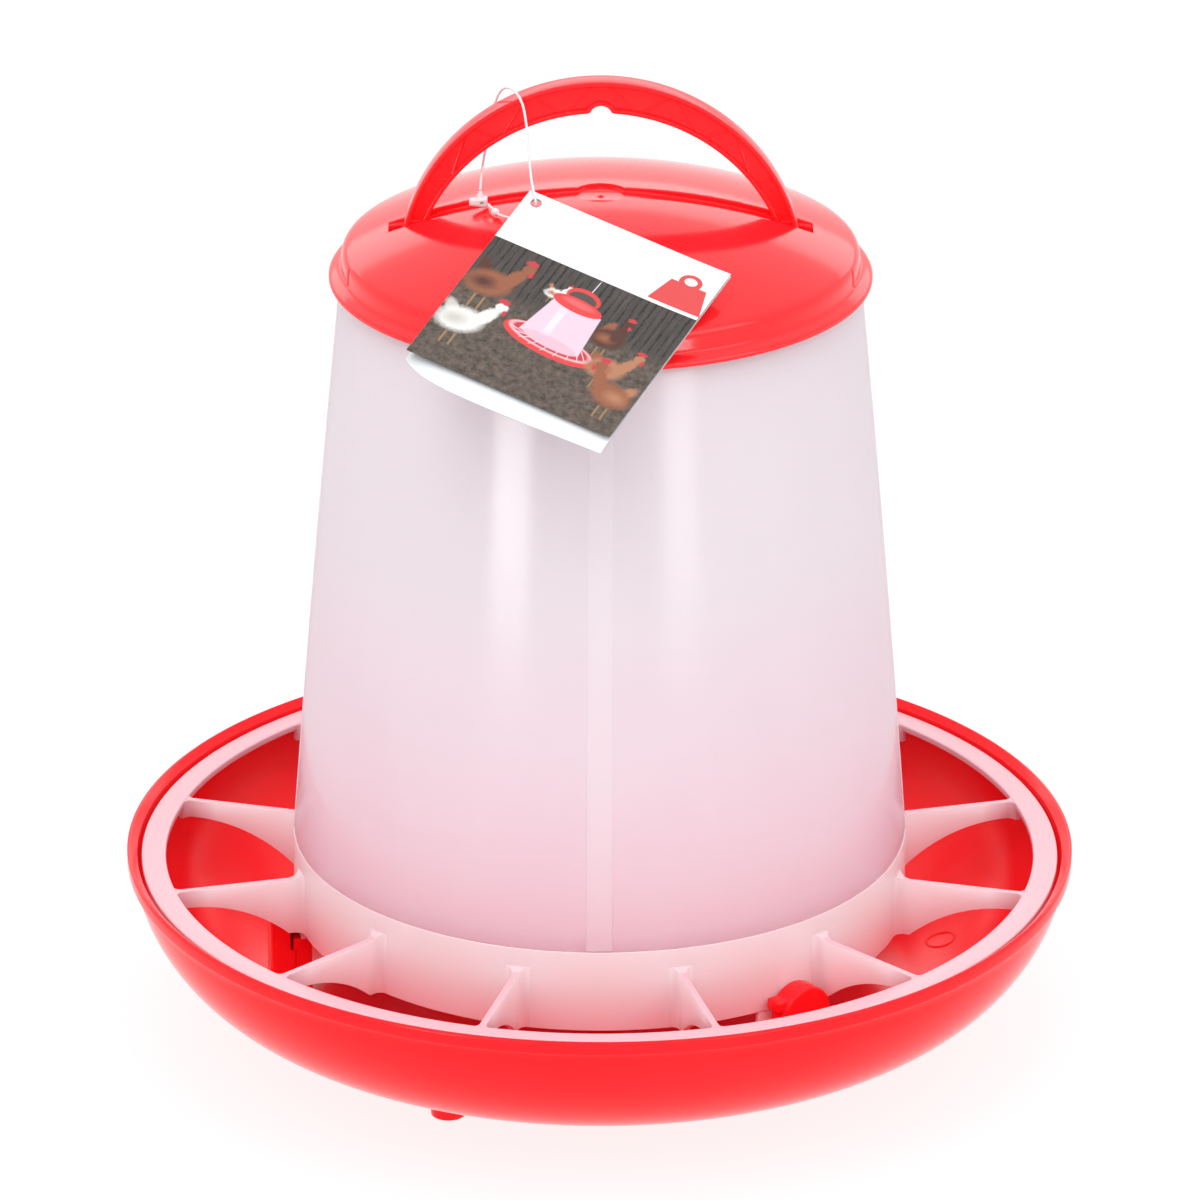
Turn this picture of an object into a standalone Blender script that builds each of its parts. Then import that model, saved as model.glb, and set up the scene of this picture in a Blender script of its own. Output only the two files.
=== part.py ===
"""Gravity poultry feeder: tray, feeding grid, hopper, lid, carrying handle and a tied-on leaflet.

Units are metres, +Z is up. The origin is on the floor, under the middle of the tray, and the
front of the feeder faces -Y. An azimuth is an angle round the Z axis, counted from the front
and growing towards +X.
"""

import math

import bmesh
import bpy
from mathutils import Matrix, Vector

MM = 0.001
GAP = 0.3 * MM                      # clearance between pieces that touch
TURN_STEPS = 64                     # facets round every turned piece
MERGE = 0.00005

# Tray
TRAY_RADIUS = 125.0 * MM
TRAY_HEIGHT = 48.0 * MM
TRAY_WALL = 1.9 * MM
FOOT_HEIGHT = 8.9 * MM
FOOT_RADIUS = 4.65 * MM
FOOT_CIRCLE = 78.0 * MM
FOOT_AZIMUTHS = (-30.0, 90.0, 210.0)
TRAY_CORNER = 41.0 * MM             # radius of the round between underside and wall
TRAY_CORNER_AT = 83.0 * MM          # radius on which that round is centred
RIM_BAND = 3.4 * MM                 # height of the thicker band round the rim
RIM_INNER = 122.3 * MM              # from this edge the rim's face slopes up and outwards
RIM_INNER_TOP = 46.4 * MM
RIM_CREST = 1.0 * MM                # from the crest's inner edge to the rim's outside
RIM_CHAMFER = 0.5 * MM
CONE_TOP = 50.0 * MM                # point of the feed-spreading cone, before rounding
CONE_SLOPE = math.radians(36.0)
CONE_TIP = 8.0 * MM

# Bayonet lugs on the tray floor
LUG_AZIMUTHS = (37.8, 157.8, 277.8)
LUG_WIDTH = 15.0 * MM
LUG_INNER = 81.5 * MM
LUG_DEPTH = 6.5 * MM
LUG_TOP = 37.0 * MM
LUG_STEP_TOP = 26.7 * MM            # the step behind each lug that carries the grid
LUG_STEP_INNER = 77.5 * MM
SLOT_DEPTH = 1.7 * MM
SLOT_BOTTOM = 23.5 * MM
SLOT_TOP = 31.2 * MM

# Feeding grid
GRID_TOP = 46.0 * MM
RING_INNER = 114.75 * MM
RING_OUTER = 121.2 * MM
RING_THICKNESS = 1.8 * MM
HUB_RADIUS = 81.0 * MM
HUB_WALL = 1.6 * MM
HUB_BOTTOM = 30.3 * MM
HUB_TOP = 52.4 * MM
SPOKE_COUNT = 12
SPOKE_FIRST = 15.0
SPOKE_THICKNESS = 1.8 * MM
SPOKE_ARCH = 40.6 * MM              # radius of the arched lower edge
SPOKE_ARCH_AT = (112.0 * MM, 41.0 * MM)
GUSSET = 1.8 * MM
GUSSET_TOP = 47.4 * MM
TAB_START = 30.5
TAB_END = 43.5
TAB_BOTTOM = LUG_STEP_TOP + GAP
RIB_START = 35.0
RIB_END = 42.0
RIB_RADIUS = 82.7 * MM

# Hopper
HOPPER_WALL = 1.8 * MM
HOPPER_BOTTOM_RADIUS = 80.7 * MM
HOPPER_TOP_RADIUS = 66.75 * MM
HOPPER_TOP = 207.9 * MM
HOPPER_BULGE = 0.42 * MM
SPIGOT_BOTTOM = 36.0 * MM

# Lid
DOME_RADIUS = 157.4 * MM
LID_TOP = 229.5 * MM
DOME_CENTRE = LID_TOP - DOME_RADIUS
DOME_EDGE = 64.9 * MM
LID_SEAT = HOPPER_TOP + GAP
LID_EDGE_MM = (                     # radius, height: shoulder, skirt, flared brim, back up to the seat
    (66.1, 214.6),
    (66.65, 213.2),
    (66.8, 209.7),
    (67.7, 208.9),
    (69.4, 208.2),
    (69.95, 207.6),
    (69.95, 206.9),
    (69.0, 206.9),
    (67.6, 207.6),
)
SEAT_RADIUS = 67.1 * MM
LID_WALL = 1.8 * MM
LID_SPIGOT = 64.3 * MM
LID_SPIGOT_WALL = 1.6 * MM
LID_SPIGOT_BOTTOM = 203.2 * MM
GROOVE_WIDTH = 7.0 * MM
GROOVE_DEPTH = 1.8 * MM
GROOVE_END = 54.5 * MM
GROOVE_WALL = 1.7 * MM
TROUGH_END = 57.0 * MM
SLOT_START = 45.2 * MM
SLOT_WIDTH = 4.8 * MM
SLOT_SPAN = (211.0 * MM, 223.0 * MM)        # heights between which the lid's slots are cut
RECESS_RADIUS = 7.0 * MM
RECESS_DEPTH = 1.3 * MM

# Handle
HANDLE_OUTER = (52.3 * MM, 207.7 * MM)      # radius, height of centre
HANDLE_INNER = (48.6 * MM, 202.9 * MM)
HANDLE_WIDTH = 6.4 * MM
HANDLE_WEB = 2.8 * MM
HANDLE_LIP = 5.0 * MM
FLANGE = 1.3 * MM
LIP = 1.1 * MM
HANDLE_CUT = 212.0 * MM             # the arcs run down to here before their ends are trimmed
NOTCH_RADIUS = 3.0 * MM
NOTCH_DEPTH = 2.0 * MM
FOOT_NECK = 4.0 * MM
FOOT_INSET = 1.0 * MM               # from the handle's inner edge to the neck of each barbed foot
BARB = 5.8 * MM                     # reach of the barb beyond the neck
FOOT_LEVELS_MM = (1.0, -8.6, -9.2, -7.8, -7.2, -5.8)   # heights round the foot, from the handle's end

# Leaflet, and the loop that ties it to the handle
TAG_WIDTH = 58.0 * MM
TAG_HEIGHT = 61.6 * MM
TAG_THICKNESS = 1.2 * MM
TAG_SLOPE = math.radians(28.0)
TAG_TURN = math.radians(29.6)
TAG_CENTRE = Vector((-7.8, -60.3, 218.95)) * MM
TAG_HOLE = (-25.5 * MM, 27.6 * MM)
TAG_HOLE_RADIUS = 1.5 * MM
STRING_RADIUS = 0.35 * MM
STRING_SAMPLES = 70
STRING_ROUTE_MM = (                 # from the lock, over the handle, through the leaflet, to the tail
    (-30.8, -4.3, 231.5),
    (-30.6, -2.0, 234.0),
    (-30.0, 2.2, 237.4),
    (-29.2, 4.3, 241.6),
    (-28.4, 4.6, 246.5),
    (-27.2, 4.7, 251.5),
    (-25.9, 4.0, 254.9),
    (-24.4, 1.6, 257.0),
    (-22.9, -1.2, 257.7),
    (-21.3, -3.9, 257.2),
    (-20.0, -5.8, 255.2),
    (-19.2, -8.4, 252.4),
    (-18.7, -12.0, 249.2),
    (-18.2, -17.6, 245.3),
    (-17.6, -22.6, 241.2),
    (-16.9, -26.6, 238.7),
    (-16.4, -28.1, 236.4),
    (-16.7, -27.2, 233.8),
    (-18.5, -23.6, 231.1),
    (-21.4, -18.9, 229.0),
    (-24.2, -15.4, 228.2),
    (-26.3, -12.9, 228.1),
)
LOCK_CENTRE = Vector((-31.3, -4.6, 228.4)) * MM
LOCK_SIZE = (4.7 * MM, 3.0 * MM, 2.6 * MM)
BEAD_RADIUS = 1.15 * MM
BEAD_LENGTH = 2.2 * MM
TAIL_NECK = 0.55 * MM


def clear_scene():
    for thing in list(bpy.data.objects):
        bpy.data.objects.remove(thing)


def make_collection(name):
    collection = bpy.data.collections.new(name)
    bpy.context.scene.collection.children.link(collection)
    return collection


def make_material(name, colour, roughness):
    material = bpy.data.materials.new(name)
    material.use_nodes = True
    shader = material.node_tree.nodes["Principled BSDF"]
    shader.inputs["Base Color"].default_value = (*colour, 1.0)
    shader.inputs["Roughness"].default_value = roughness
    shader.inputs["Metallic"].default_value = 0.0
    return material


def add_object(name, mesh, collection):
    thing = bpy.data.objects.new(name, mesh)
    collection.objects.link(thing)
    return thing


def set_cutter(thing):
    """A guide or cutter isn't part of the feeder: it is drawn as wire and not rendered."""
    thing.hide_render = True
    thing.display_type = "WIRE"
    return thing


def finish_part(thing, material):
    thing.data.materials.clear()
    thing.data.materials.append(material)
    thing.data.shade_smooth()
    thing.data.set_sharp_from_angle(angle=math.radians(35.0))
    return thing


def arc(centre, radius, start, end, steps):
    """Points (across, up) on an arc, from one angle to another, in degrees."""
    points = []
    for i in range(steps + 1):
        angle = math.radians(start + (end - start) * i / steps)
        across = centre[0] + radius * math.cos(angle)
        points.append((across, centre[1] + radius * math.sin(angle)))
    return points


def turned(name, profile, closed, collection, steps=TURN_STEPS):
    """A solid of revolution about Z. The profile is (radius, height), down the outer side."""
    mesh = bpy.data.meshes.new(name)
    edges = [(i, i + 1) for i in range(len(profile) - 1)]
    if closed:
        edges.append((len(profile) - 1, 0))
    mesh.from_pydata([(r, 0.0, z) for r, z in profile], edges, [])
    thing = add_object(name, mesh, collection)
    screw = thing.modifiers.new("turn", "SCREW")
    screw.axis = "Z"
    screw.angle = math.tau
    screw.steps = steps
    screw.render_steps = steps
    screw.use_merge_vertices = True
    screw.merge_threshold = MERGE
    return thing


def evaluated_mesh(thing, name):
    """A plain mesh of an object as it shows, with its loose caps welded."""
    bpy.context.view_layer.update()
    graph = bpy.context.evaluated_depsgraph_get()
    mesh = bpy.data.meshes.new_from_object(thing.evaluated_get(graph))
    mesh.name = name
    mesh.transform(thing.matrix_world)
    work = bmesh.new()
    work.from_mesh(mesh)
    bmesh.ops.remove_doubles(work, verts=work.verts, dist=0.000002)
    bmesh.ops.recalc_face_normals(work, faces=work.faces)
    work.to_mesh(mesh)
    work.free()
    return mesh


def plate(name, outline, thickness, matrix, collection):
    """A flat piece: an outline in its local XY, with a thickness along its local Z."""
    curve = bpy.data.curves.new(name, "CURVE")
    curve.dimensions = "2D"
    curve.fill_mode = "BOTH"
    curve.extrude = thickness / 2
    spline = curve.splines.new("POLY")
    spline.points.add(len(outline) - 1)
    for point, (across, up) in zip(spline.points, outline):
        point.co = (across, up, 0.0, 1.0)
    spline.use_cyclic_u = True
    guide = bpy.data.objects.new(name, curve)
    collection.objects.link(guide)
    guide.matrix_world = matrix
    mesh = evaluated_mesh(guide, name)
    bpy.data.objects.remove(guide)
    return add_object(name, mesh, collection)


def box(name, low, high, matrix, collection):
    """A block between two corners, in the axes of a matrix."""
    work = bmesh.new()
    bmesh.ops.create_cube(work, size=1.0)
    size = Vector(high) - Vector(low)
    middle = (Vector(high) + Vector(low)) / 2
    bmesh.ops.scale(work, vec=size, verts=work.verts)
    bmesh.ops.translate(work, vec=middle, verts=work.verts)
    mesh = bpy.data.meshes.new(name)
    work.to_mesh(mesh)
    work.free()
    mesh.transform(matrix)
    return add_object(name, mesh, collection)


def cylinder(name, radius, low, high, matrix, collection, sides=24):
    """A round bar along the local Z of a matrix."""
    work = bmesh.new()
    depth = high - low
    bmesh.ops.create_cone(
        work, cap_ends=True, segments=sides, radius1=radius, radius2=radius, depth=depth
    )
    bmesh.ops.translate(work, vec=(0.0, 0.0, low + depth / 2), verts=work.verts)
    mesh = bpy.data.meshes.new(name)
    work.to_mesh(mesh)
    work.free()
    mesh.transform(matrix)
    return add_object(name, mesh, collection)


def combine(target, other, operation):
    """Joins a solid to the target (UNION) or cuts it out (DIFFERENCE)."""
    step = target.modifiers.new(other.name, "BOOLEAN")
    step.operation = operation
    step.solver = "EXACT"
    step.object = other
    set_cutter(other)
    return target


def axes(across, up, out, place=(0.0, 0.0, 0.0)):
    """The matrix of a local frame, from its three axes and its origin."""
    matrix = Matrix((across, up, out)).transposed().to_4x4()
    matrix.translation = place
    return matrix


def radial(azimuth):
    angle = math.radians(azimuth)
    return Vector((math.sin(angle), -math.cos(angle), 0.0))


def tangent(azimuth):
    angle = math.radians(azimuth)
    return Vector((math.cos(angle), math.sin(angle), 0.0))


def facing_out(azimuth):
    """Local X runs round the feeder, local Y is up and local Z points outwards."""
    return axes(tangent(azimuth), Vector((0, 0, 1)), radial(azimuth))


def upright_radial(azimuth):
    """Local X points outwards, local Y is up and local Z runs round the feeder."""
    return axes(radial(azimuth), Vector((0, 0, 1)), -tangent(azimuth))


UPRIGHT = axes(Vector((1, 0, 0)), Vector((0, 0, 1)), Vector((0, -1, 0)))


def sector(inner, outer, start, end, steps=6):
    """The outline, seen from above, of a piece of a ring between two azimuths."""
    outline = []
    for radius, first, last in ((outer, start, end), (inner, end, start)):
        for i in range(steps + 1):
            spot = radial(first + (last - first) * i / steps) * radius
            outline.append((spot.x, spot.y))
    return outline


def cone_profile(drop):
    """The cone's tip and its foot radius on the floor; drop is the wall thickness below it."""
    apex = CONE_TOP - drop / math.cos(CONE_SLOPE)
    tip = CONE_TIP - drop
    centre = apex - tip / math.cos(CONE_SLOPE)
    points = arc((0.0, centre), tip, 90.0, 90.0 - math.degrees(CONE_SLOPE), 3)
    points[0] = (0.0, centre + tip)
    floor = FOOT_HEIGHT + TRAY_WALL - drop
    points.append(((apex - floor) / math.tan(CONE_SLOPE), floor))
    return points


def make_tray(parts, cutters):
    corner = (TRAY_CORNER_AT, FOOT_HEIGHT + TRAY_CORNER)
    inner = TRAY_CORNER - TRAY_WALL
    profile = cone_profile(0.0)
    profile += arc(corner, inner, -90.0, -10.0, 11)
    profile += [
        (RIM_INNER, RIM_INNER_TOP),
        (TRAY_RADIUS - RIM_CREST, TRAY_HEIGHT),
        (TRAY_RADIUS - RIM_CHAMFER, TRAY_HEIGHT),
        (TRAY_RADIUS, TRAY_HEIGHT - RIM_CHAMFER),
        (TRAY_RADIUS, TRAY_HEIGHT - RIM_BAND),
        (TRAY_RADIUS - 0.9 * MM, TRAY_HEIGHT - RIM_BAND - 0.5 * MM),
    ]
    profile += arc(corner, TRAY_CORNER, -8.8, -90.0, 12)
    profile += reversed(cone_profile(TRAY_WALL))
    tray = turned("feed_tray", profile, False, parts)
    lug_mesh = make_lug(cutters)
    for number, azimuth in enumerate(LUG_AZIMUTHS):
        lug = add_object(f"lug_{number}", lug_mesh.copy(), cutters)
        lug.data.transform(facing_out(azimuth))
        combine(tray, lug, "UNION")
    for number, azimuth in enumerate(FOOT_AZIMUTHS):
        place = Matrix.Translation(radial(azimuth) * FOOT_CIRCLE)
        top = FOOT_HEIGHT + 0.9 * MM
        foot = cylinder(f"foot_{number}", FOOT_RADIUS, 0.0, top, place, cutters)
        combine(tray, foot, "UNION")
    return tray


def make_lug(cutters):
    """A lug in its own axes: X round the feeder, Y up, Z outwards from the feeder's axis."""
    root = FOOT_HEIGHT + TRAY_WALL - 0.9 * MM
    half = LUG_WIDTH / 2
    outline = [(-half, root), (half, root)]
    outline += arc((0.0, LUG_TOP - half), half, 0.0, 180.0, 16)
    middle = LUG_INNER + LUG_DEPTH / 2
    flat = Matrix.Translation((0.0, 0.0, middle))
    post = plate("lug_post", outline, LUG_DEPTH, flat, cutters)
    nub_low = (-half - 1.3 * MM, LUG_TOP - 5.6 * MM, LUG_INNER + 0.1 * MM)
    nub_high = (-half + 2.4 * MM, LUG_TOP - 2.4 * MM, LUG_INNER + 5.0 * MM)
    nub = box("lug_hook", nub_low, nub_high, Matrix(), cutters)
    step_low = (-half + 0.1 * MM, root, LUG_STEP_INNER)
    step_high = (half - 0.1 * MM, LUG_STEP_TOP, LUG_INNER + 0.4 * MM)
    step = box("lug_step", step_low, step_high, Matrix(), cutters)
    slot_low = (-5.1 * MM, SLOT_BOTTOM, LUG_INNER - 0.6 * MM)
    slot_high = (half + 1.0 * MM, SLOT_TOP, LUG_INNER + SLOT_DEPTH)
    slot = box("lug_slot", slot_low, slot_high, Matrix(), cutters)
    step_clear_low = (-half - 1.0 * MM, LUG_STEP_TOP, LUG_STEP_INNER - 1.0 * MM)
    step_clear_high = (half + 1.0 * MM, SLOT_TOP, LUG_INNER - 0.3 * MM)
    combine(post, nub, "UNION")
    combine(post, slot, "DIFFERENCE")
    combine(post, step, "UNION")
    space = box("lug_step_space", step_clear_low, step_clear_high, Matrix(), cutters)
    combine(post, space, "DIFFERENCE")
    mesh = evaluated_mesh(post, "lug")
    set_cutter(post)
    return mesh


def spoke_outline():
    """A spoke seen from the side: straight top, gusset on the hub, arched lower edge."""
    root = HUB_RADIUS - 0.9 * MM
    tip = RING_INNER + 1.5 * MM
    outline = [
        (tip, GRID_TOP - 0.2 * MM),
        (HUB_RADIUS + GUSSET, GRID_TOP - 0.2 * MM),
        (HUB_RADIUS + 0.3 * MM, GUSSET_TOP),
        (root, GUSSET_TOP),
        (root, HUB_BOTTOM + 0.3 * MM),
    ]
    across, top = SPOKE_ARCH_AT
    lowest = top - SPOKE_ARCH
    start = math.degrees(math.asin((HUB_BOTTOM + 0.3 * MM - lowest) / SPOKE_ARCH))
    outline += arc((across, lowest), SPOKE_ARCH, 180.0 - start, 88.0, 8)
    outline.append((tip, top))
    return outline


def make_grid(parts, cutters):
    hub_profile = [
        (HUB_RADIUS, HUB_TOP),
        (HUB_RADIUS, HUB_BOTTOM),
        (HUB_RADIUS - HUB_WALL, HUB_BOTTOM),
        (HUB_RADIUS - HUB_WALL, HUB_TOP),
    ]
    grid = turned("feed_grid", hub_profile, True, parts)
    ring_profile = [
        (RING_OUTER, GRID_TOP),
        (RING_OUTER, GRID_TOP - RING_THICKNESS),
        (RING_INNER, GRID_TOP - RING_THICKNESS),
        (RING_INNER, GRID_TOP),
    ]
    ring = turned("grid_ring", ring_profile, True, cutters)
    outline = spoke_outline()
    for number in range(SPOKE_COUNT):
        turn = upright_radial(SPOKE_FIRST + number * 360.0 / SPOKE_COUNT)
        spoke = plate(f"spoke_{number:02d}", outline, SPOKE_THICKNESS, turn, cutters)
        combine(grid, spoke, "UNION")
    combine(grid, ring, "UNION")
    for number in range(len(LUG_AZIMUTHS)):
        shift = number * 120.0
        tab_outline = sector(
            HUB_RADIUS - HUB_WALL + 0.2 * MM,
            HUB_RADIUS - 0.2 * MM,
            TAB_START + shift,
            TAB_END + shift,
        )
        tab_height = HUB_BOTTOM + 1.0 * MM - TAB_BOTTOM
        lift = Matrix.Translation((0.0, 0.0, TAB_BOTTOM + tab_height / 2))
        tab = plate(f"hub_tab_{number}", tab_outline, tab_height, lift, cutters)
        rib_outline = sector(
            HUB_RADIUS - 0.8 * MM, RIB_RADIUS, RIB_START + shift, RIB_END + shift, 4
        )
        rib_height = 2.6 * MM
        lift = Matrix.Translation((0.0, 0.0, SLOT_TOP - GAP - rib_height / 2))
        rib = plate(f"hub_rib_{number}", rib_outline, rib_height, lift, cutters)
        combine(grid, tab, "UNION")
        combine(grid, rib, "UNION")
    return grid


def hopper_radius(height):
    """The hopper's outer radius: a cone with a very slight barrel."""
    start = HUB_TOP + GAP
    share = (height - start) / (HOPPER_TOP - start)
    straight = HOPPER_BOTTOM_RADIUS + share * (HOPPER_TOP_RADIUS - HOPPER_BOTTOM_RADIUS)
    return straight + 4.0 * HOPPER_BULGE * share * (1.0 - share)


def make_hopper(parts):
    start = HUB_TOP + GAP
    rings = 10
    heights = [HOPPER_TOP + (start - HOPPER_TOP) * i / rings for i in range(rings + 1)]
    spigot = HUB_RADIUS - HUB_WALL - GAP
    profile = [(hopper_radius(z), z) for z in heights]
    profile += [
        (spigot, start),
        (spigot, SPIGOT_BOTTOM),
        (spigot - HUB_WALL, SPIGOT_BOTTOM),
        (spigot - HUB_WALL, start + 0.5 * MM),
    ]
    inner = [(hopper_radius(z) - HOPPER_WALL, z) for z in heights[:-1]]
    profile += reversed(inner)
    return turned("hopper", profile, True, parts)


def dome_height(radius, across):
    """Height of a sphere about the dome's centre, at a distance from the axis."""
    return DOME_CENTRE + math.sqrt(radius * radius - across * across)


def dome_band(outer, inner, reach, steps=14):
    """A strip that follows the dome across the lid, between two radii."""
    outline = []
    for radius, side in ((outer, 1.0), (inner, -1.0)):
        for i in range(steps + 1):
            across = side * reach * (1.0 - 2.0 * i / steps)
            outline.append((across, dome_height(radius, across)))
    return outline


def make_lid(parts, cutters):
    inside = DOME_RADIUS - LID_WALL
    spigot_inner = LID_SPIGOT - LID_SPIGOT_WALL
    rings = 9
    profile = []
    for i in range(rings + 1):
        across = DOME_EDGE * i / rings
        profile.append((across, dome_height(DOME_RADIUS, across)))
    profile += [(across * MM, height * MM) for across, height in LID_EDGE_MM]
    profile += [
        (SEAT_RADIUS, LID_SEAT),
        (LID_SPIGOT, LID_SEAT),
        (LID_SPIGOT, LID_SPIGOT_BOTTOM),
        (spigot_inner, LID_SPIGOT_BOTTOM),
    ]
    for i in range(rings + 1):
        across = spigot_inner * (1.0 - i / rings)
        profile.append((across, dome_height(inside, across)))
    lid = turned("lid", profile, False, parts)
    floor = DOME_RADIUS - GROOVE_DEPTH
    trough_outline = dome_band(DOME_RADIUS - 1.0 * MM, floor - GROOVE_WALL, TROUGH_END)
    trough_width = GROOVE_WIDTH + 2.0 * GROOVE_WALL
    trough = plate("lid_trough", trough_outline, trough_width, UPRIGHT, cutters)
    groove_outline = dome_band(DOME_RADIUS + 2.0 * MM, floor, GROOVE_END)
    groove = plate("lid_groove", groove_outline, GROOVE_WIDTH, UPRIGHT, cutters)
    recess = cylinder(
        "lid_recess",
        RECESS_RADIUS,
        LID_TOP - RECESS_DEPTH,
        LID_TOP + 5.0 * MM,
        Matrix(),
        cutters,
        sides=32,
    )
    combine(lid, trough, "UNION")
    combine(lid, recess, "DIFFERENCE")
    combine(lid, groove, "DIFFERENCE")
    for side, name in ((1.0, "right"), (-1.0, "left")):
        near, far = sorted((side * SLOT_START, side * (GROOVE_END - 0.1 * MM)))
        low = (near, -SLOT_WIDTH / 2, SLOT_SPAN[0])
        high = (far, SLOT_WIDTH / 2, SLOT_SPAN[1])
        slot = box(f"lid_slot_{name}", low, high, Matrix(), cutters)
        combine(lid, slot, "DIFFERENCE")
    return lid


def meet_floor(arch):
    """Where one arc of the handle meets a line just above the floor of the lid's groove."""
    radius, centre = arch
    floor = DOME_RADIUS - GROOVE_DEPTH + GAP
    over = radius * radius - floor * floor + DOME_CENTRE * DOME_CENTRE - centre * centre
    height = over / (2.0 * (DOME_CENTRE - centre))
    return math.sqrt(radius * radius - (height - centre) ** 2), height


def arch_band(outer, inner, steps=28):
    """The outline between two arcs of the handle, down to a level inside the lid."""
    outline = []
    for (radius, centre), side in ((outer, 1.0), (inner, -1.0)):
        start = math.degrees(math.asin((HANDLE_CUT - centre) / radius))
        start = start if side > 0.0 else 180.0 - start
        outline += arc((0.0, centre), radius, start, 180.0 - start, steps)
    return outline


def smaller(arch, amount):
    return arch[0] - amount, arch[1]


def make_handle(parts, cutters):
    web_outline = arch_band(smaller(HANDLE_OUTER, 0.5 * MM), smaller(HANDLE_INNER, -0.4 * MM))
    handle = plate("handle", web_outline, HANDLE_WEB, UPRIGHT, parts)
    flange_outline = arch_band(HANDLE_OUTER, smaller(HANDLE_OUTER, FLANGE))
    flange = plate("handle_flange", flange_outline, HANDLE_WIDTH, UPRIGHT, cutters)
    lip_outline = arch_band(smaller(HANDLE_INNER, -LIP), HANDLE_INNER)
    lip = plate("handle_lip", lip_outline, HANDLE_LIP, UPRIGHT, cutters)
    combine(handle, flange, "UNION")
    combine(handle, lip, "UNION")
    floor = DOME_RADIUS - GROOVE_DEPTH + GAP
    below_outline = dome_band(floor, floor - 20.0 * MM, 60.0 * MM, steps=24)
    below = plate("handle_end_cut", below_outline, 2.0 * HANDLE_WIDTH, UPRIGHT, cutters)
    combine(handle, below, "DIFFERENCE")
    across, height = meet_floor(HANDLE_INNER)
    near = across + FOOT_INSET
    far = near + FOOT_NECK
    reaches = (near, near, far, far + BARB, far + BARB, far)
    levels = [height + level * MM for level in FOOT_LEVELS_MM]
    for side, name in ((1.0, "right"), (-1.0, "left")):
        outline = [*zip(reaches, levels), (far, levels[0])]
        if side < 0.0:
            outline = [(-x, z) for x, z in reversed(outline)]
        foot = plate(f"handle_foot_{name}", outline, FOOT_NECK, UPRIGHT, cutters)
        combine(handle, foot, "UNION")
    inner_top = HANDLE_INNER[0] + HANDLE_INNER[1]
    place = UPRIGHT.copy()
    place.translation = (0.0, 0.0, inner_top + NOTCH_DEPTH - NOTCH_RADIUS)
    reach = HANDLE_WIDTH
    notch = cylinder("hang_notch", NOTCH_RADIUS, -reach, reach, place, cutters)
    combine(handle, notch, "DIFFERENCE")
    return handle


def tag_axes():
    """The leaflet's frame: X along its top edge, Y up its face, Z out of its printed side."""
    across = Vector((1.0, 0.0, 0.0))
    down = Vector((0.0, -math.cos(TAG_SLOPE), -math.sin(TAG_SLOPE)))
    top_edge = across * math.cos(TAG_TURN) + down * math.sin(TAG_TURN)
    up_face = across * math.sin(TAG_TURN) - down * math.cos(TAG_TURN)
    return axes(top_edge, up_face, top_edge.cross(up_face), TAG_CENTRE)


def make_tag(parts, cutters):
    half_width = TAG_WIDTH / 2
    half_height = TAG_HEIGHT / 2
    outline = [
        (-half_width, -half_height),
        (half_width, -half_height),
        (half_width, half_height),
        (-half_width, half_height),
    ]
    place = tag_axes()
    tag = plate("hang_tag", outline, TAG_THICKNESS, place, parts)
    spot = place @ Matrix.Translation((*TAG_HOLE, 0.0))
    depth = 3.0 * MM
    hole = cylinder("tag_hole", TAG_HOLE_RADIUS, -depth, depth, spot, cutters, sides=16)
    return combine(tag, hole, "DIFFERENCE")


def smooth_route(points, samples):
    """Points read evenly off a smooth curve that passes through the given ones."""
    ends = [points[0] * 2.0 - points[1], points[-1] * 2.0 - points[-2]]
    padded = [ends[0], *points, ends[1]]
    spans = len(points) - 1
    route = []
    for i in range(samples + 1):
        place = min(i * spans / samples, spans - 1e-9)
        span = int(place)
        t = place - span
        a, b, c, d = padded[span:span + 4]
        route.append(
            (b * 2.0 + (c - a) * t + (a * 2.0 - b * 5.0 + c * 4.0 - d) * t * t
             + (b * 3.0 - a - c * 3.0 + d) * t * t * t) * 0.5
        )
    return route


def make_string(parts):
    points = smooth_route([Vector(p) * MM for p in STRING_ROUTE_MM], STRING_SAMPLES)
    curve = bpy.data.curves.new("tag_string", "CURVE")
    curve.dimensions = "3D"
    curve.bevel_depth = STRING_RADIUS
    curve.bevel_resolution = 2
    curve.use_fill_caps = True
    spline = curve.splines.new("POLY")
    spline.points.add(len(points) - 1)
    for point, spot in zip(spline.points, points):
        point.co = (*spot, 1.0)
    return add_object("tag_string", curve, parts)


def make_lock(parts, cutters):
    half = [size / 2 for size in LOCK_SIZE]
    place = Matrix.Translation(LOCK_CENTRE)
    low = [-size for size in half]
    lock = box("tag_string_lock", low, half, place, parts)
    start = Vector(STRING_ROUTE_MM[0]) * MM
    foot = Vector((start.x, start.y, LOCK_CENTRE.z + half[2] - 0.3 * MM))
    height = start.z - foot.z - GAP
    profile = [(STRING_RADIUS + 0.1 * MM, height), (1.1 * MM, 0.0)]
    profile = [(0.0, height), *profile, (0.0, 0.0)]
    nipple = turned("lock_nipple", profile, False, cutters, steps=12)
    nipple.location = foot
    return combine(lock, nipple, "UNION")


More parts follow.
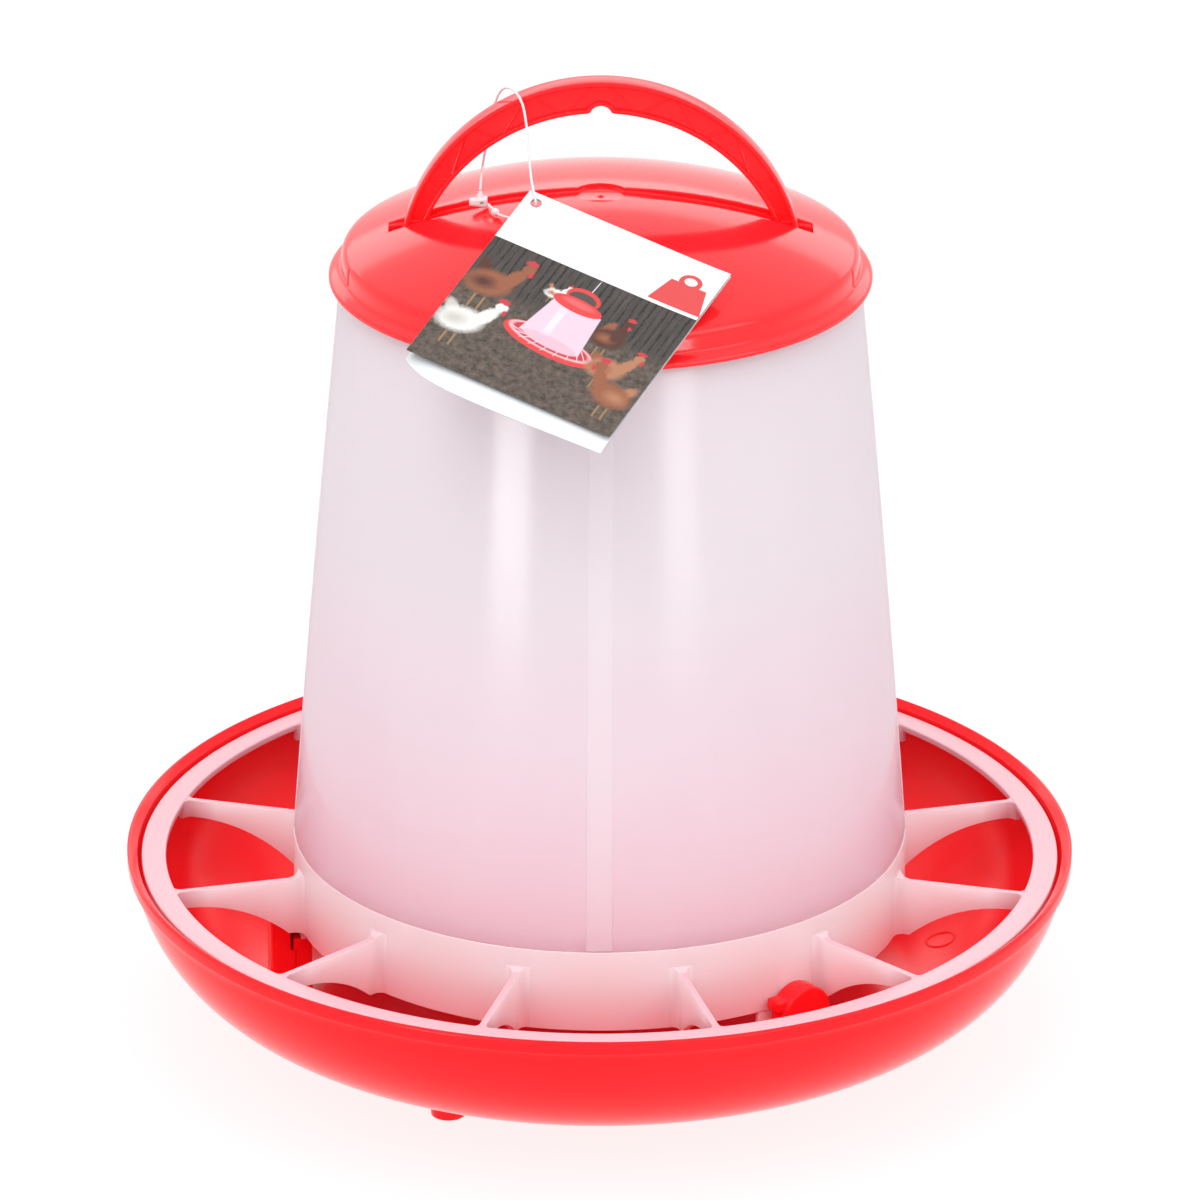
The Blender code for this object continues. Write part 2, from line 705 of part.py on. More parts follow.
def make_tail(parts):
    """The bead and thin neck between the end of the string and the lock."""
    end = Vector(STRING_ROUTE_MM[-1]) * MM
    before = Vector(STRING_ROUTE_MM[-2]) * MM
    along = (end - before).normalized()
    lock_corner = LOCK_CENTRE + Vector((LOCK_SIZE[0] / 2, -LOCK_SIZE[1] / 2, 0.0))
    top = end + along * GAP
    bottom = lock_corner + (top - lock_corner).normalized() * 1.2 * MM
    length = (top - bottom).length
    profile = [
        (0.0, length),
        (TAIL_NECK, length),
        (BEAD_RADIUS, length - 0.5 * MM),
        (BEAD_RADIUS, length - BEAD_LENGTH + 0.5 * MM),
        (TAIL_NECK, length - BEAD_LENGTH),
        (TAIL_NECK, 0.0),
        (0.0, 0.0),
    ]
    tail = turned("tag_string_tail", profile, False, parts, steps=12)
    tail.rotation_mode = "QUATERNION"
    tail.rotation_quaternion = (top - bottom).to_track_quat("Z", "Y")
    tail.location = bottom
    return tail


def main():
    clear_scene()
    parts = make_collection("gravity_poultry_feeder")
    cutters = make_collection("cutters")
    red = make_material("red_plastic", (0.80, 0.035, 0.045), 0.25)
    milky = make_material("milky_plastic", (0.90, 0.86, 0.88), 0.35)
    card = make_material("printed_card", (0.90, 0.90, 0.89), 0.45)
    nylon = make_material("white_nylon", (0.88, 0.88, 0.88), 0.35)
    finish_part(make_tray(parts, cutters), red)
    finish_part(make_grid(parts, cutters), milky)
    finish_part(make_hopper(parts), milky)
    finish_part(make_lid(parts, cutters), red)
    finish_part(make_handle(parts, cutters), red)
    finish_part(make_tag(parts, cutters), card)
    finish_part(make_lock(parts, cutters), nylon)
    finish_part(make_tail(parts), nylon)
    make_string(parts).data.materials.append(nylon)


main()
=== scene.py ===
"""Looks of the gravity poultry feeder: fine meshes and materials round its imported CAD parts.

Units are metres, +Z is up, and the feeder's front faces -Y. An azimuth is an angle round the Z
axis in degrees, counted from the front and growing towards +X.
"""

import math

import bmesh
import bpy
from mathutils import Matrix, Quaternion, Vector


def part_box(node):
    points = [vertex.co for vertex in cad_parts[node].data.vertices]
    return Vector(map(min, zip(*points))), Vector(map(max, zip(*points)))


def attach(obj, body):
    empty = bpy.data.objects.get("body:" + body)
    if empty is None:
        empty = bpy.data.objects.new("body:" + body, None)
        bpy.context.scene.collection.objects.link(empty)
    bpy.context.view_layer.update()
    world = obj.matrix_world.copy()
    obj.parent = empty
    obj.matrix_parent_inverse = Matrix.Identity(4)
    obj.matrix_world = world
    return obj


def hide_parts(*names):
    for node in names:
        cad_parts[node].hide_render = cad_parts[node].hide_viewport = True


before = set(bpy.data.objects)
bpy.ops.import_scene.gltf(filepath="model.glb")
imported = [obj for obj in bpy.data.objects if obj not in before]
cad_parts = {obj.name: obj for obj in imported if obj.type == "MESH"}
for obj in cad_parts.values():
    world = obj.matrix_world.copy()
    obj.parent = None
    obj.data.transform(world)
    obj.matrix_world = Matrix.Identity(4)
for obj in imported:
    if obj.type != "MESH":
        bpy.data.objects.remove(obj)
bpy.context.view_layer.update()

MM = 0.001
TINY = 1e-9
WELD = 0.002 * MM                   # points closer than this are one
UP = Vector((0.0, 0.0, 1.0))
FINE_TURN = 240                     # facets round the large turned pieces
SMALL_TURN = 48
SHARP = math.radians(32.0)          # edges with a sharper bend than this aren't shaded smooth

# Camera
VIEW_DISTANCE = 2.0737
VIEW_TARGET = Vector((0.0, 0.0, 0.1162))
VIEW_ELEVATION = math.radians(22.68)
VIEW_ROLL = math.radians(0.117)
VIEW_LENS = 237.8

# Light
WORLD_STRENGTH = 0.98
LIGHT_TARGET = Vector((0.0, 0.0, 0.12))
LIGHTS = (                          # name, azimuth, elevation, distance, size, watts, in gloss, lights
    ("overhead", 0.0, 80.0, 1.6, (1.5, 1.5), 16.0, False, True),
    ("key", -38.0, 48.0, 1.9, (1.3, 1.0), 7.0, True, True),
    ("fill", 55.0, 40.0, 2.1, (1.2, 1.0), 6.0, True, True),
    ("back", 180.0, 24.0, 1.6, (2.4, 0.45), 4.0, True, False),
    ("strip_left", -35.0, -6.0, 0.75, (0.19, 0.34), 2.3, True, False),
    ("strip_right", 31.5, -8.0, 0.75, (0.17, 0.30), 0.95, True, False),
)

# Floor, just under the feet
FLOOR_RADIUS = 6.0
FLOOR_TOP = -0.2 * MM
FLOOR_THICKNESS = 20.0 * MM
FLOOR_GLOW = 0.86                   # the floor shines by itself, so that it stays as pale as the studio

# Tray
TRAY_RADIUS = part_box("feed_tray")[1].x
TRAY_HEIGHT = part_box("feed_tray")[1].z
TRAY_WALL = 1.9 * MM
FOOT_HEIGHT = 8.9 * MM
FOOT_RADIUS = 4.65 * MM
FOOT_CIRCLE = 78.0 * MM
FOOT_AZIMUTHS = (-30.0, 90.0, 210.0)
TRAY_CORNER = 41.0 * MM
TRAY_CORNER_AT = 83.0 * MM
RIM_BAND = 3.4 * MM
RIM_INNER = 122.3 * MM              # from this edge the rim's face slopes up and outwards
RIM_INNER_TOP = 46.4 * MM
CONE_TOP = 50.0 * MM
CONE_SLOPE = math.radians(36.0)
CONE_TIP = 8.0 * MM
LUG_AZIMUTHS = (37.8, 157.8, 277.8)
LUG_WIDTH = 15.0 * MM
LUG_INNER = 81.5 * MM
LUG_DEPTH = 6.5 * MM
LUG_TOP = 37.0 * MM
LUG_STEP_TOP = 26.7 * MM
LUG_STEP_INNER = 77.5 * MM
SLOT_DEPTH = 1.7 * MM
SLOT_BOTTOM = 23.5 * MM
SLOT_TOP = 31.2 * MM
MARK_AT = (92.5 * MM, 98.3)         # radius and azimuth of a small raised ring on the floor
MARK_RADIUS = 3.9 * MM
MARK_THICKNESS = 0.42 * MM

# Feeding grid
GRID_TOP = 46.0 * MM
RING_INNER = 114.75 * MM
RING_OUTER = 121.2 * MM
RING_THICKNESS = 1.8 * MM
HUB_RADIUS = 81.0 * MM
HUB_WALL = 1.6 * MM
HUB_BOTTOM = 30.3 * MM
HUB_TOP = 52.4 * MM
SPOKE_COUNT = 12
SPOKE_FIRST = 15.0
SPOKE_HALF = 0.9 * MM
SPOKE_ARCH = 40.6 * MM
SPOKE_ARCH_AT = (112.0 * MM, 41.0 * MM)
GUSSET = 1.8 * MM
GUSSET_TOP = 47.4 * MM
ROOT_FILLET = 2.4 * MM
RING_FILLET = 1.8 * MM
TAB_AZIMUTHS = (30.5, 43.5)
RIB_AZIMUTHS = (35.0, 42.0)
RIB_RADIUS = 82.7 * MM
GAP = 0.3 * MM

# Hopper
HOPPER_WALL = 1.8 * MM
HOPPER_BOTTOM_RADIUS = 80.7 * MM
HOPPER_TOP_RADIUS = 66.75 * MM
HOPPER_TOP = 207.9 * MM
HOPPER_BULGE = 0.42 * MM
SPIGOT_BOTTOM = 36.0 * MM
STRIP_HALF = 3.4 * MM               # half width of the raised flow strips
STRIP_HEIGHT = 0.2 * MM
STRIP_ANGLE = math.degrees(STRIP_HALF / HOPPER_BOTTOM_RADIUS)
STRIP_AZIMUTHS = (0.0, 90.0, 180.0, 270.0)
HOPPER_GLOW_FADE = (0.052, 0.15)         # heights between which the plastic fades from a painted pink glow, the red light of the tray, to milky
# heights between which the grid fades from a painted pink glow, the red light of the tray, to its paler
# top tone
GRID_GLOW_FADE = (0.030, 0.044)
RIM_SHADE_FADE = (0.106, 0.113)           # radii between which the grid turns to its rim's painted shade
SEAM = 0.03 * MM                    # the hopper's shoulder all but rests on the grid's hub

# Lid
DOME_RADIUS = 157.4 * MM
LID_TOP = 229.5 * MM
DOME_CENTRE = LID_TOP - DOME_RADIUS
DOME_EDGE = 64.9 * MM
LID_EDGE_MM = (                     # (radius, height): shoulder, skirt, beaded brim, inside
    (65.5, 215.12), (65.95, 214.7), (66.3, 214.2), (66.52, 213.6), (66.64, 213.0),
    (66.7, 212.0), (66.76, 211.0), (66.82, 210.2), (66.95, 209.8), (67.25, 209.45),
    (67.7, 209.15), (68.3, 208.87), (68.9, 208.62), (69.35, 208.4), (69.68, 208.15),
    (69.78, 207.98), (69.9, 207.85), (69.95, 207.68), (69.86, 207.45), (69.95, 207.22),
    (69.88, 207.0), (69.68, 206.9), (69.2, 206.9), (68.9, 207.0), (68.3, 207.35),
    (67.6, 207.75), (67.2, 208.05),
)
SEAT_RADIUS = 67.1 * MM
LID_WALL = 1.8 * MM
LID_SPIGOT = 64.3 * MM
LID_SPIGOT_BOTTOM = 203.2 * MM
GROOVE_HALF = 3.6 * MM
GROOVE_DEPTH = 1.8 * MM              # at the handle; less in the middle and towards the ends
GROOVE_MIDDLE = 1.25 * MM
GROOVE_TAIL = 1.0 * MM
GROOVE_END = 54.5 * MM
GROOVE_WALL = 1.7 * MM
TROUGH_END = 57.0 * MM
SLOT_START = 45.2 * MM
SLOT_WIDTH = 4.8 * MM
RECESS_RADIUS = 6.8 * MM
RECESS_DEPTH = 1.2 * MM
SHOULDER_MARKS = (-75.0, 75.0, 105.0, -105.0)
MARK_DENT = 0.4 * MM
MARK_SPREAD = 0.55                  # degrees

# Handle
HANDLE_OUTER = (52.3 * MM, 207.7 * MM)
HANDLE_INNER = (48.6 * MM, 202.9 * MM)
HANDLE_WIDTH = 6.4 * MM
HANDLE_WEB = 2.8 * MM
HANDLE_LIP = 5.0 * MM
FLANGE = 1.3 * MM
LIP = 1.1 * MM
RIB_START = 1.8                     # degrees from the arch's top to the first slanted rib
RIB_STEP = 10.0                     # degrees of the arch that one slanted rib spans
RIB_COUNT = 6
RIB_WIDTH = 0.7 * MM
RIB_PROUD = 0.22 * MM
RIB_SPLIT = 1.3                     # degrees between the ends of two ribs
ARCH_STEPS = 144
NOTCH_RADIUS = 3.0 * MM
NOTCH_DEPTH = 2.0 * MM
COLLAR = 1.0 * MM                   # width of the raised edge round the notch
COLLAR_WIDTH = 4.7 * MM
FOOT_NECK = 4.0 * MM
FOOT_INSET = 1.0 * MM               # from the handle's inner edge to the neck of each barbed foot
BARB = 5.8 * MM                     # reach of the barb beyond the neck
FOOT_LEVELS_MM = (1.0, -8.6, -9.2, -7.8, -7.2, -5.8)   # heights round the foot, from the handle's end

# Leaflet, and the loop that ties it on
TAG_WIDTH = 58.0 * MM
TAG_HEIGHT = 61.6 * MM
TAG_SLOPE = math.radians(28.0)
TAG_TURN = math.radians(29.6)
TAG_CENTRE = Vector((-7.8, -60.3, 218.95)) * MM
TAG_HOLE = (-25.5 * MM, 27.6 * MM)
TAG_HOLE_RADIUS = 1.5 * MM
WOBBLE = 0.65                       # millimetres by which the print's painted edges wander
LEAF_THICKNESS = 0.25 * MM
STRING_RADIUS = 0.32 * MM
STRING_SAMPLES = 140
LOCK_CENTRE = Vector((-31.3, -4.6, 228.4)) * MM
LOCK_SIZE = (4.7 * MM, 3.0 * MM, 2.6 * MM)
LOCK_TAPER = 0.55                   # height of the lock's narrow end, as a share of its wide end
BEAD_RADIUS = 1.0 * MM
BEAD_LENGTH = 2.2 * MM
TAIL_NECK = 0.36 * MM
STRING_ROUTE_MM = (                 # from the lock, over the handle, through the leaflet, to the tail
    (-30.8, -4.3, 231.5), (-30.6, -2.0, 234.0), (-30.0, 2.2, 237.4), (-29.2, 4.3, 241.6),
    (-28.4, 4.6, 246.5), (-27.2, 4.7, 251.5), (-25.9, 4.0, 254.9), (-24.4, 1.6, 257.0),
    (-22.9, -1.2, 257.7), (-21.3, -3.9, 257.2), (-20.0, -5.8, 255.2), (-19.2, -8.4, 252.4),
    (-18.7, -12.0, 249.2), (-18.2, -17.6, 245.3), (-17.6, -22.6, 241.2), (-16.9, -26.6, 238.7),
    (-16.4, -28.1, 236.4), (-16.7, -27.2, 233.8), (-18.5, -23.6, 231.1), (-21.4, -18.9, 229.0),
    (-24.2, -15.4, 228.2), (-26.3, -12.9, 228.1),
)


# ---- camera, light and floor

def make_camera():
    back = radial(0.0) * math.cos(VIEW_ELEVATION) + UP * math.sin(VIEW_ELEVATION)
    data = bpy.data.cameras.new("camera")
    data.lens = VIEW_LENS
    data.sensor_width = 36.0
    data.clip_start = 0.05
    data.clip_end = 50.0
    camera = add_object("camera", data)
    camera.location = VIEW_TARGET + back * VIEW_DISTANCE
    camera.rotation_mode = "QUATERNION"
    roll = Quaternion((0.0, 0.0, 1.0), VIEW_ROLL)
    camera.rotation_quaternion = (-back).to_track_quat("-Z", "Y") @ roll
    bpy.context.scene.camera = camera


def make_light(name, azimuth, elevation, distance, size, power, in_gloss, lights):
    """A rectangular soft light, (width, height), on a direction from the point that it faces."""
    across = math.cos(math.radians(elevation))
    out = radial(azimuth) * across + UP * math.sin(math.radians(elevation))
    data = bpy.data.lights.new(name, "AREA")
    data.shape = "RECTANGLE"
    data.size, data.size_y = size
    data.energy = power
    light = add_object(name, data)
    light.location = LIGHT_TARGET + out * distance
    light.rotation_mode = "QUATERNION"
    light.rotation_quaternion = (-out).to_track_quat("-Z", "Y")
    light.visible_camera = False
    light.visible_glossy = in_gloss
    light.visible_diffuse = lights
    light.visible_transmission = lights


def make_studio():
    scene = bpy.context.scene
    scene.view_settings.view_transform = "Standard"
    world = bpy.data.worlds.new("studio")
    scene.world = world
    world.use_nodes = True
    background = world.node_tree.nodes["Background"].inputs
    background["Color"].default_value = (1.0, 1.0, 1.0, 1.0)
    background["Strength"].default_value = WORLD_STRENGTH
    for light in LIGHTS:
        make_light(*light)


# ---- shapes

def radial(azimuth):
    angle = math.radians(azimuth)
    return Vector((math.sin(angle), -math.cos(angle), 0.0))


def tangent(azimuth):
    angle = math.radians(azimuth)
    return Vector((math.cos(angle), math.sin(angle), 0.0))


def axes(across, up, out, place=(0.0, 0.0, 0.0)):
    """The matrix of a local frame, from its three axes and its origin."""
    matrix = Matrix((across, up, out)).transposed().to_4x4()
    matrix.translation = place
    return matrix


UPRIGHT = axes(Vector((1, 0, 0)), UP, Vector((0, -1, 0)))


def facing_out(azimuth):
    """Local X runs round the feeder, local Y is up and local Z points outwards."""
    return axes(tangent(azimuth), UP, radial(azimuth))


def arc(centre, radius, start, end, steps):
    """Points (across, up) on an arc, from one angle to another, in degrees."""
    points = []
    for i in range(steps + 1):
        angle = math.radians(start + (end - start) * i / steps)
        across = centre[0] + radius * math.cos(angle)
        points.append((across, centre[1] + radius * math.sin(angle)))
    return points


def beside(spot, *steps):
    """Points at steps, in millimetres, from a spot."""
    return [(spot[0] + across * MM, spot[1] + up * MM) for across, up in steps]


def add_object(name, data):
    thing = bpy.data.objects.new(name, data)
    bpy.context.scene.collection.objects.link(thing)
    return thing


def turn_outwards(mesh, weld=0.0):
    """Turns a mesh's faces outwards, after welding points that are closer than a distance."""
    work = bmesh.new()
    work.from_mesh(mesh)
    if weld:
        bmesh.ops.remove_doubles(work, verts=work.verts, dist=weld)
    bmesh.ops.recalc_face_normals(work, faces=work.faces)
    work.to_mesh(mesh)
    work.free()


def from_faces(name, points, faces):
    """A mesh object with its faces turned outwards."""
    mesh = bpy.data.meshes.new(name)
    mesh.from_pydata(points, [], faces)
    turn_outwards(mesh)
    return add_object(name, mesh)


def even_azimuths(steps):
    return [360.0 * i / steps for i in range(steps)]


def turned(name, profile, turn, closed=False, shape=None):
    """A solid turned about Z from (radius, height) points.

    turn is how many azimuths it has, or their list, and shape may move a point by its azimuth.
    """
    azimuths = even_azimuths(turn) if isinstance(turn, int) else turn
    points = []
    rings = []
    for radius, height in profile:
        if radius < TINY:
            rings.append([len(points)] * len(azimuths))
            points.append(Vector((0.0, 0.0, height)))
            continue
        ring = []
        for azimuth in azimuths:
            r, z = shape(radius, height, azimuth) if shape else (radius, height)
            ring.append(len(points))
            points.append(radial(azimuth) * r + UP * z)
        rings.append(ring)
    pairs = list(zip(rings, rings[1:]))
    if closed:
        pairs.append((rings[-1], rings[0]))
    faces = []
    for first, second in pairs:
        for i in range(len(azimuths)):
            j = (i + 1) % len(azimuths)
            corners = list(dict.fromkeys((first[i], first[j], second[j], second[i])))
            if len(corners) > 2:
                faces.append(corners)
    return from_faces(name, points, faces)


def lofted(name, rings):
    """A closed solid through rings of points, with a flat cap on each end."""
    points = [point for ring in rings for point in ring]
    count = len(rings[0])
    faces = [list(range(count)), list(range(len(points) - count, len(points)))]
    for k in range(len(rings) - 1):
        for i in range(count):
            j = (i + 1) % count
            low = k * count
            faces.append([low + i, low + j, low + count + j, low + count + i])
    return from_faces(name, points, faces)


def shown_mesh(thing):
    """A plain mesh of an object as it shows, with its modifiers applied."""
    bpy.context.view_layer.update()
    graph = bpy.context.evaluated_depsgraph_get()
    return bpy.data.meshes.new_from_object(thing.evaluated_get(graph))


def settled_mesh(thing):
    """The mesh that an object shows, in the scene's axes, with its loose caps welded."""
    mesh = shown_mesh(thing)
    mesh.transform(thing.matrix_world)
    turn_outwards(mesh, WELD)
    bpy.data.objects.remove(thing)
    return mesh


def plate(name, outline, thickness, matrix, rounding=0.0):
    """A flat piece with rounded edges: an outline in local XY, its thickness along local Z."""
    curve = bpy.data.curves.new(name, "CURVE")
    curve.dimensions = "2D"
    curve.fill_mode = "BOTH"
    curve.extrude = thickness / 2 - rounding
    curve.bevel_depth = rounding
    curve.bevel_resolution = 2
    curve.offset = -rounding
    spline = curve.splines.new("POLY")
    spline.points.add(len(outline) - 1)
    for point, (across, up) in zip(spline.points, outline):
        point.co = (across, up, 0.0, 1.0)
    spline.use_cyclic_u = True
    guide = add_object(name, curve)
    guide.matrix_world = matrix
    return add_object(name, settled_mesh(guide))


def block(name, low, high, matrix, rounding=0.0, segments=3):
    """A block between two corners, in the axes of a matrix, with rounded edges."""
    work = bmesh.new()
    bmesh.ops.create_cube(work, size=1.0)
    bmesh.ops.scale(work, vec=Vector(high) - Vector(low), verts=work.verts)
    bmesh.ops.translate(work, vec=(Vector(high) + Vector(low)) / 2, verts=work.verts)
    if rounding > 0.0:
        bmesh.ops.bevel(
            work, geom=work.edges[:], offset=rounding, segments=segments, affect="EDGES", profile=0.5
        )
    mesh = bpy.data.meshes.new(name)
    work.to_mesh(mesh)
    work.free()
    mesh.transform(matrix)
    return add_object(name, mesh)


def rounded_bar(name, radius, low, high, rounding, matrix, steps=SMALL_TURN):
    """A round bar along the local Z of a matrix, with rounded ends."""
    profile = [(0.0, high)]
    profile += arc((radius - rounding, high - rounding), rounding, 90.0, 0.0, 3)
    profile += arc((radius - rounding, low + rounding), rounding, 0.0, -90.0, 3)
    profile.append((0.0, low))
    bar = turned(name, profile, steps)
    bar.data.transform(matrix)
    return bar


def merged(name, things):
    """Several separate solids in one object, for one Boolean."""
    work = bmesh.new()
    for thing in things:
        work.from_mesh(thing.data)
        bpy.data.objects.remove(thing)
    mesh = bpy.data.meshes.new(name)
    work.to_mesh(mesh)
    work.free()
    return add_object(name, mesh)


def combine(target, other, operation):
    """Joins a solid to the target, cuts it out or keeps what they share, and removes it."""
    step = target.modifiers.new("combine", "BOOLEAN")
    step.operation = operation
    step.solver = "EXACT"
    step.object = other
    mesh = shown_mesh(target)
    target.modifiers.clear()
    target.data = mesh
    bpy.data.objects.remove(other)


def finish_piece(thing, material, body, slot, *nodes):
    """Gives a piece its material and smooth shading, ties it to its body and hides the CAD nodes that
    it stands in for.
    """
    thing.data.materials.clear()
    thing.data.materials.append(material)
    if thing.type == "MESH":
        thing.data.shade_smooth()
        thing.data.set_sharp_from_angle(angle=SHARP)
    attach(thing, body)
    if nodes:
        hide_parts(*nodes)
    return thing


# ---- tray

def cone_profile(drop):
    """The cone's tip and its foot radius on the floor; drop is the wall thickness below it."""
    apex = CONE_TOP - drop / math.cos(CONE_SLOPE)
    tip = CONE_TIP - drop
    centre = apex - tip / math.cos(CONE_SLOPE)
    points = arc((0.0, centre), tip, 90.0, 90.0 - math.degrees(CONE_SLOPE), 6)
    points[0] = (0.0, centre + tip)
    floor = FOOT_HEIGHT + TRAY_WALL - drop
    foot = (apex - floor) / math.tan(CONE_SLOPE)
    soft = 3.0 * MM
    points += [
        (foot - soft, floor + soft * math.tan(CONE_SLOPE)),
        (foot - 0.35 * soft, floor + 0.42 * soft * math.tan(CONE_SLOPE)),
        (foot + 0.25 * soft, floor + 0.12 * soft * math.tan(CONE_SLOPE)),
        (foot + soft, floor),
    ]
    return points


def rim_profile():
    """The rim: a face that slopes up and out, a crest, a lower ledge and the step under its band."""
    top = (TRAY_RADIUS, TRAY_HEIGHT)
    band = (TRAY_RADIUS, TRAY_HEIGHT - RIM_BAND)
    turns = (                       # corner, the centre's step from it, radius, angles, steps
        ((RIM_INNER, RIM_INNER_TOP), 0.3, -0.1, 0.3, 180.0, 133.0, 3),
        (top, -0.75, -0.35, 0.35, 133.0, 75.0, 5),
        (top, -0.4, -0.58, 0.4, 80.0, 0.0, 4),
        (band, -0.25, 0.25, 0.25, 0.0, -80.0, 3),
    )
    points = []
    for corner, across, up, radius, start, end, steps in turns:
        points += arc(beside(corner, (across, up))[0], radius * MM, start, end, steps)
    return points + beside(band, (-0.75, -0.05), (-0.95, -0.3))


def make_tray(material):
    corner = (TRAY_CORNER_AT, FOOT_HEIGHT + TRAY_CORNER)
    inner = TRAY_CORNER - TRAY_WALL
    profile = cone_profile(0.0)
    profile += arc(corner, inner, -90.0, -10.0, 30)
    profile += rim_profile()
    profile += arc(corner, TRAY_CORNER, -9.2, -90.0, 32)
    profile += reversed(cone_profile(TRAY_WALL))
    tray = turned("tray_shell", profile, FINE_TURN)
    added = [make_lug(azimuth) for azimuth in LUG_AZIMUTHS]
    for number, azimuth in enumerate(FOOT_AZIMUTHS):
        place = Matrix.Translation(radial(azimuth) * FOOT_CIRCLE)
        top = FOOT_HEIGHT + 0.9 * MM
        added.append(rounded_bar(f"foot_{number}", FOOT_RADIUS, 0.0, top, 0.5 * MM, place))
    floor = FOOT_HEIGHT + TRAY_WALL
    out, azimuth = MARK_AT
    rise = inner - math.sqrt(inner ** 2 - (out - TRAY_CORNER_AT) ** 2)
    lean = math.asin((out - TRAY_CORNER_AT) / inner)
    section = arc((MARK_RADIUS, 0.0), MARK_THICKNESS, 0.0, 330.0, 11)
    mark = turned("floor_mark", section, SMALL_TURN, closed=True)
    mark.data.transform(Matrix.Rotation(-lean, 4, tangent(azimuth)))
    mark.data.transform(Matrix.Translation(radial(azimuth) * out + UP * (floor + rise)))
    added.append(mark)
    combine(tray, merged("tray_additions", added), "UNION")
    return finish_piece(tray, material, "tray", "red_plastic", "feed_tray")


def make_lug(azimuth):
    """A bayonet lug: a round-topped post with a hook, a slot behind it and a step to rest on."""
    root = FOOT_HEIGHT + TRAY_WALL - 0.9 * MM
    half = LUG_WIDTH / 2
    outline = [(-half - 0.5 * MM, root), (half + 0.5 * MM, root), (half, root + 1.6 * MM)]
    outline += arc((0.0, LUG_TOP - half), half, 0.0, 180.0, 24)
    outline.append((-half, root + 1.6 * MM))
    flat = Matrix.Translation((0.0, 0.0, LUG_INNER + LUG_DEPTH / 2))
    post = plate(f"lug_{azimuth:.0f}", outline, LUG_DEPTH, flat, rounding=0.8 * MM)
    still = Matrix()
    nub_low = (-half - 1.3 * MM, LUG_TOP - 5.6 * MM, LUG_INNER + 0.1 * MM)
    nub_high = (-half + 3.4 * MM, LUG_TOP - 2.4 * MM, LUG_INNER + 5.0 * MM)
    combine(post, block("nub", nub_low, nub_high, still, 0.7 * MM), "UNION")
    slot_low = (-5.1 * MM, SLOT_BOTTOM, LUG_INNER - 1.6 * MM)
    slot_high = (half + 1.0 * MM, SLOT_TOP, LUG_INNER + SLOT_DEPTH)
    combine(post, block("slot", slot_low, slot_high, still, 0.3 * MM, 2), "DIFFERENCE")
    step_low = (-half + 0.3 * MM, root, LUG_STEP_INNER)
    step_high = (half - 0.3 * MM, LUG_STEP_TOP, LUG_INNER + 1.0 * MM)
    step = block("step", step_low, step_high, still, 0.5 * MM)
    keep_low = (-half - 3.0 * MM, LUG_STEP_TOP, LUG_INNER + 0.4 * MM)
    keep_high = (half + 3.0 * MM, SLOT_TOP, LUG_INNER + 3.0 * MM)
    combine(step, block("step_space", keep_low, keep_high, still), "DIFFERENCE")
    combine(post, step, "UNION")
    post.data.transform(facing_out(azimuth))
    return post


# ---- feeding grid

def make_spoke():
    """One spoke, at azimuth 0: its side view, cut to a plan that widens where it joins."""
    root = HUB_RADIUS - 0.9 * MM
    tip = RING_INNER + 1.5 * MM
    top = GRID_TOP - 0.2 * MM
    low = HUB_BOTTOM + 0.15 * MM
    side = [(tip, top), *beside((HUB_RADIUS + GUSSET, top), (1.4, 0.0), (0.0, 0.45))]
    side += [(HUB_RADIUS + 0.3 * MM, GUSSET_TOP), (root, GUSSET_TOP), (root, low)]
    across, arch_top = SPOKE_ARCH_AT
    lowest = arch_top - SPOKE_ARCH
    start = math.degrees(math.asin((low - lowest) / SPOKE_ARCH))
    side += arc((across, lowest), SPOKE_ARCH, 180.0 - start, 88.0, 26)
    side.append((tip, arch_top))
    wide = 2.0 * (SPOKE_HALF + ROOT_FILLET) + 2.0 * MM
    turn = axes(radial(0.0), UP, -tangent(0.0))
    spoke = plate("spoke", side, wide, turn)
    at_hub = (HUB_RADIUS + ROOT_FILLET, SPOKE_HALF + ROOT_FILLET)
    at_ring = (RING_INNER - RING_FILLET, SPOKE_HALF + RING_FILLET)
    plan = arc(at_hub, ROOT_FILLET, 180.0, 270.0, 8) + arc(at_ring, RING_FILLET, 270.0, 360.0, 8)
    plan = [(root, plan[0][1]), *plan, (tip, plan[-1][1])]
    plan += [(x, -y) for x, y in reversed(plan)]
    height = HUB_TOP - HUB_BOTTOM + 6.0 * MM
    flat = axes(radial(0.0), tangent(0.0), UP)
    flat.translation = UP * (HUB_BOTTOM + HUB_TOP) / 2
    combine(spoke, plate("spoke_plan", plan, height, flat), "INTERSECT")
    bevel = spoke.modifiers.new("soft_edges", "BEVEL")
    bevel.width = 0.3 * MM
    bevel.segments = 2
    bevel.limit_method = "ANGLE"
    bevel.angle_limit = math.radians(50.0)
    return settled_mesh(spoke)


def rounded_ring(inner, outer, low, high, rounding):
    """The closed outline of a flat ring's section, with rounded corners."""
    steps = 4
    section = []
    corners = (
        (outer - rounding, high - rounding, 90.0),
        (outer - rounding, low + rounding, 0.0),
        (inner + rounding, low + rounding, -90.0),
        (inner + rounding, high - rounding, -180.0),
    )
    for across, up, start in corners:
        section += arc((across, up), rounding, start, start - 90.0, steps)
    return section


def sector(inner, outer, start, end):
    """The outline, seen from above, of a piece of a ring between two azimuths."""
    steps = 10
    outline = []
    for radius, first, last in ((outer, start, end), (inner, end, start)):
        for i in range(steps + 1):
            spot = radial(first + (last - first) * i / steps) * radius
            outline.append((spot.x, spot.y))
    return outline


